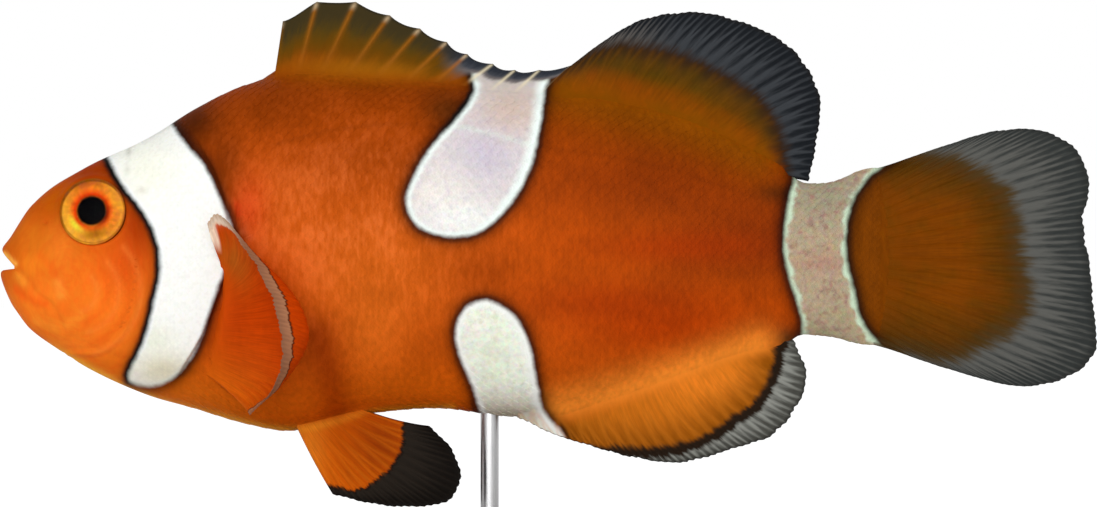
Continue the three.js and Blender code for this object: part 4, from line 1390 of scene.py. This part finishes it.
def turned_piece(name, profile, place, slot, material, node=(), around=96, values=None):
    """A closed piece turned about an axis, from a line of radius and way out."""
    r, out = np.array(profile, float).T
    turn = np.arange(around) / around * 2 * np.pi
    radius, angle = np.meshgrid(r[1:-1], turn, indexing="ij")
    level = np.broadcast_to(out[1:-1, None], radius.shape)
    rings = place(radius, angle, level).reshape(-1, 3)
    poles = place(np.zeros(2), np.zeros(2), out[[0, -1]])
    points = np.concatenate([rings, poles])
    faces, corners = grid(len(r) - 2, around, closed=True)
    first, last, rows = len(rings), len(rings) + 1, len(r) - 2
    i = np.arange(around)
    after = (i + 1) % around
    top = np.stack([np.full(around, first), i, after], axis=-1)
    low = np.stack([np.full(around, last), (rows - 1) * around + after, (rows - 1) * around + i], axis=-1)
    if not faces_out(points, faces, points.mean(axis=0)):
        faces, corners, top, low = (part[:, ::-1] for part in (faces, corners, top, low))
    every = faces.tolist() + top.tolist() + low.tolist()
    corners = spare_corners(corners, len(top) * 6)
    extra = values(np.append(radius, [0, 0]), np.append(angle, [0, 0])) if values else {}
    return add_mesh(name, points, every, corners, slot, material, node, **extra)


def iris_material():
    """Threads and duller patches over the iris's colours, round a black pupil."""
    shader = Shader("clownfish_iris", Specular_IOR_Level=0.0)
    threads = shader.noise(1.0, shader.scaled(shader.colour("spoke"), (6, 1.6, 6)), detail=3, rough=0.6)
    patches = shader.noise(1.6 * PER_MM, detail=3, rough=0.6)
    patched = shader.step(patches, 0.4, 0.66, 0, 0.75)
    ground = shader.mix(patched, shader.colour("ground"), shader.colour("patch"))
    iris = shader.gained(ground, shader.step(threads, 0.3, 0.72, 0.86, 1.08))
    edge = shader.sum(shader.value("radius"), shader.swing(patches, 0.2))
    colour = shader.mix(shader.step(edge, PUPIL - 0.14, PUPIL + 0.14), linear(4, 4, 5), iris)
    return shader.finish(colour, 0.5, shader.bump(threads, 0.00004, 0.5))


def cornea_material():
    """A clear shell that hardly bends what is seen through it."""
    settings = dict(Base_Color=(1, 1, 1), Roughness=0.0, IOR=1.07, Transmission_Weight=1.0)
    return Shader("clear_cornea", **settings).material


def iris_values(r, turn):
    """Gold, redder by the pupil, with a painted olive shade below and a painted yellow highlight low in
    front, and darker at the rim. A turn of 0 points to the tail.
    """
    def near(angle, width):
        return np.exp(-(((turn - angle + np.pi) % (2 * np.pi) - np.pi) / width) ** 2)

    colour = filled(r.shape, (254, 172, 46))
    # left marks the painted highlight low in front; low marks the painted shade below
    top, low, left = near(np.pi / 2 + 0.3, 0.9), near(-np.pi / 2 + 0.15, 0.55), near(3.83, 0.45)
    out = np.hypot(r * np.cos(turn) + PUPIL_AHEAD, r * np.sin(turn) - PUPIL_AHEAD)
    border_r = r + 0.1 * top - 0.1 * near(0, 0.9)
    layers = [
        ((240, 118, 26), 0.85 * top),
        ((196, 92, 22), 0.75 * near(np.pi / 2 + 0.1, 0.7) * smooth(1.9, 2.35, r)),
        ((246, 132, 34), 0.7 * near(-0.5, 0.6)),
        ((255, 190, 62), 0.4 * bump(r - 2.42, 0.14) * (1 - top)),
        ((255, 112, 28), 0.9 * bump(out - 1.58, 0.24)),
        # painted yellow highlight, low in front
        ((255, 236, 60), left * bump(out - 1.78, 0.28)),
        # painted olive shade below
        ((170, 98, 14), 0.9 * low * bump(out - 1.92, 0.48)),
        ((230, 50, 6), (0.95 - 0.5 * low) * bump(out - 1.34, 0.2)),
        ((110, 16, 4), 0.85 * bump(out - 1.3, 0.2) * near(-0.3, 0.9)),
        ((148, 80, 8), smooth(2.46, 2.64, border_r) * (1 - 0.6 * near(-np.pi / 2, 0.9))),
    ]
    for shade, share in layers:
        colour = tinted(colour, shade, share)
    spoke = np.stack([np.cos(turn), r, np.sin(turn)], axis=-1)
    duller = np.array([0.14, 0.38, 0.4]) * (1 - left)[:, None]
    patch = colour * (1 - duller) + 0.02 * smooth(1.5, 2.2, r)[:, None]
    return dict(ground=colour, patch=patch, radius=out, spoke=spoke)


def build_eyes():
    """Each eye is a ball with a flat iris and a rim, under a clear dome."""
    iris, clear = iris_material(), cornea_material()
    radii = np.linspace(0, IRIS, 46)[1:]
    rise = 0.10 * smooth(PUPIL - 0.15, PUPIL + 0.1, radii) - 0.05 * (radii / IRIS) ** 2
    face = [(0, EYE_FLAT)] + list(zip(radii, EYE_FLAT + rise))
    rim = [(2.58, 0.50), (2.66, 0.54), (EYE_RIM, 0.50), (EYE_RIM, 0.38), (EYE_RIM, 0.1),
           (2.3, -0.5), (1.2, -0.95), (0, -1.1)]
    dome = [(2.6 * np.sin(a), 0.44 + 0.80 * np.cos(a)) for a in np.linspace(0, 1, 26) * np.pi / 2]
    inner = [(2.5, 0.2), (1.6, 0.1), (0, 0.05)]
    for side, name in ((-1, "left"), (1, "right")):
        place = eye_place(side)
        turned_piece("eyeball_" + name, face + rim, place, "eye", iris, ("eye_" + name,), values=iris_values)
        turned_piece("cornea_" + name, dome + inner, place, "eye", clear)


build_eyes()

ROD_S, ROD_TOP, ROD_RADIUS = 40.2, -9.6, 0.75
BASE_S, BASE_LENGTH, BASE_WIDTH, BASE_HEIGHT = 38.5, 54, 34, 5
FLOOR_H = -AXIS_Z / MM


def upright(at, stretch=1.0):
    """A function that turns a radius, a turn and a height over the floor into a place on the stand."""
    def place(r, turn, out):
        return np.stack([at + r * np.cos(turn), r * stretch * np.sin(turn), FLOOR_H + out], axis=-1)
    return place


def steel_material():
    """Steel brushed along the rod."""
    shader = Shader("brushed_steel", Metallic=1.0)
    brushed = shader.noise(PER_MM, shader.scaled(shader.place(), (9, 9, 0.25)), detail=3, rough=0.7)
    shade = shader.mix(shader.step(brushed, 0.3, 0.7), (0.50, 0.50, 0.51), (0.68, 0.68, 0.68))
    rough = shader.step(brushed, 0.3, 0.7, 0.26, 0.36)
    return shader.finish(shade, rough, shader.bump(brushed, 0.000008, 0.6))


def wood_material():
    """Dark stained wood: long grain with darker pores, under a satin varnish."""
    shader = Shader("stained_wood", Specular_IOR_Level=0.5, Coat_Weight=0.35, Coat_Roughness=0.25)
    long = shader.scaled(shader.place(), (0.05, 0.9, 0.9))
    figure = shader.noise(PER_MM, long, detail=4, rough=0.6)
    bands = shader.math("SINE", shader.product(figure, 26.0))
    pores = shader.noise(PER_MM, shader.scaled(shader.place(), (0.35, 6, 6)))
    shade = shader.mix(shader.step(bands, -1, 1), linear(74, 42, 22), linear(104, 62, 34))
    shade = shader.mix(shader.step(pores, 0.56, 0.7, 0, 0.7), shade, linear(44, 24, 13))
    rough = shader.step(figure, 0.2, 0.8, 0.34, 0.46)
    return shader.finish(shade, rough, shader.bump(pores, 0.00003, 0.5))


def rounded(corners, radius=0.35, steps=5):
    """A profile whose inner corners are rounded off."""
    p = np.array(corners, float)
    out = [p[0]]
    for before, here, after in zip(p, p[1:], p[2:]):
        back, on = np.linalg.norm(before - here), np.linalg.norm(after - here)
        size = min(radius, 0.45 * back, 0.45 * on)
        start = here + (before - here) / back * size
        end = here + (after - here) / on * size
        out += [start * (1 - t) ** 2 + here * 2 * t * (1 - t) + end * t**2 for t in np.linspace(0, 1, steps)]
    return out + [p[-1]]


def build_stand():
    """A rod with a turned foot, on an oval plinth with a stepped edge."""
    steel, wood = steel_material(), wood_material()
    top = ROD_TOP - FLOOR_H
    seat = BASE_HEIGHT + 0.05
    foot = [(1.9, 0), (1.98, 0.25), (1.84, 0.4), (1.98, 0.55), (1.98, 1.0), (1.5, 1.5), (0.98, 1.75)]
    rod = [(0, 2), (0.4, 2), (ROD_RADIUS, 2), (ROD_RADIUS, seat)]
    rod += [(r, seat + up) for r, up in foot]
    rod += [(ROD_RADIUS, up) for up in (seat + 2.2, 8, 12, top - 0.5)] + [(0.35, top), (0, top)]
    turned_piece("stand_rod_steel", rounded(rod, 0.1, 4)[::-1], upright(ROD_S), "stand_metal",
                 steel, ("stand_rod",))
    edge, inner, high = BASE_LENGTH / 2, BASE_LENGTH / 2 - 1.4, BASE_HEIGHT
    base = [(0, 0), (9, 0), (18, 0), (edge - 0.6, 0), (edge, 0.7), (edge, 2.5), (edge - 0.75, 3.3),
            (inner, 3.6), (inner, 4.5), (inner - 0.7, high), (18, high), (12, high), (6, high), (0, high)]
    turned_piece("stand_plinth", rounded(base)[::-1], upright(BASE_S, BASE_WIDTH / BASE_LENGTH), "stand_wood",
                 wood, ("stand_base",), around=160)


build_stand()


# ---------------------------------------------------------------- floor, lights and camera
MIDDLE_S = 45.04            # the distance that the camera looks at
TARGET = Vector((SNOUT_X + MIDDLE_S * MM, 0, AXIS_Z))
LENS, SENSOR = 450, 36
FRAME_WIDTH = 90.17 * MM


def build_floor():
    """A round pale floor that turns to an even white further out."""
    shader = Shader("pale_floor", Roughness=0.7)
    far = shader.node("VectorMath", {0: shader.place()}, "Value", operation="LENGTH")
    white = shader.step(far, 0.10, 0.26)
    grey = shader.product(shader.difference(1.0, white), 0.86)
    shader.finish(shader.node("CombineColor", {0: grey, 1: grey, 2: grey}), 0.7)
    shader.set(shader.surface.inputs["Emission Color"], (1, 1, 1))
    shader.set(shader.surface.inputs["Emission Strength"], white)
    bpy.ops.mesh.primitive_circle_add(vertices=96, radius=6, fill_type="NGON", location=(0, 0, 0))
    floor = bpy.context.object
    floor.name = "floor"
    floor.data.materials.append(shader.material)


def add_light(name, place, size, power):
    """A square white light that faces the middle of the fish."""
    light = bpy.data.lights.new(name, "AREA")
    light.size, light.energy = size, power
    lamp = bpy.data.objects.new(name, light)
    lamp.location = place
    lamp.rotation_euler = (TARGET - Vector(place)).to_track_quat("-Z", "Y").to_euler()
    bpy.context.collection.objects.link(lamp)


def build_studio():
    """Soft lights from the front, a white room and the floor."""
    build_floor()
    add_light("key", (-0.25, -0.6, 0.35), 0.5, 1.15)
    add_light("fill", (0.4, -0.6, 0.12), 0.6, 0.5)
    add_light("low", (-0.05, -0.5, 0.03), 0.4, 1.12)
    add_light("back", (0.1, 0.5, 0.5), 0.5, 0.8)
    world = bpy.data.worlds.new("white_room")
    bpy.context.scene.world = world
    world.use_nodes = True
    nodes, links = world.node_tree.nodes, world.node_tree.links
    seen = nodes.new("ShaderNodeLightPath").outputs["Is Camera Ray"]
    strength = nodes.new("ShaderNodeMapRange")
    links.new(seen, strength.inputs["Value"])
    strength.inputs["To Min"].default_value = 0.5
    strength.inputs["To Max"].default_value = 1.0
    links.new(strength.outputs[0], nodes["Background"].inputs["Strength"])
    nodes["Background"].inputs["Color"].default_value = (1, 1, 1, 1)
    bpy.context.scene.view_settings.view_transform = "Standard"


def build_camera():
    """A long lens square to the fish's left side, which holds it from snout to tail."""
    data = bpy.data.cameras.new("camera")
    data.lens, data.sensor_width = LENS, SENSOR
    data.clip_start, data.clip_end = 0.01, 20
    camera = bpy.data.objects.new("camera", data)
    camera.location = TARGET - Vector((0, LENS / SENSOR * FRAME_WIDTH, 0))
    camera.rotation_euler = (np.pi / 2, 0, 0)
    bpy.context.collection.objects.link(camera)
    bpy.context.scene.camera = camera


build_studio()
build_camera()
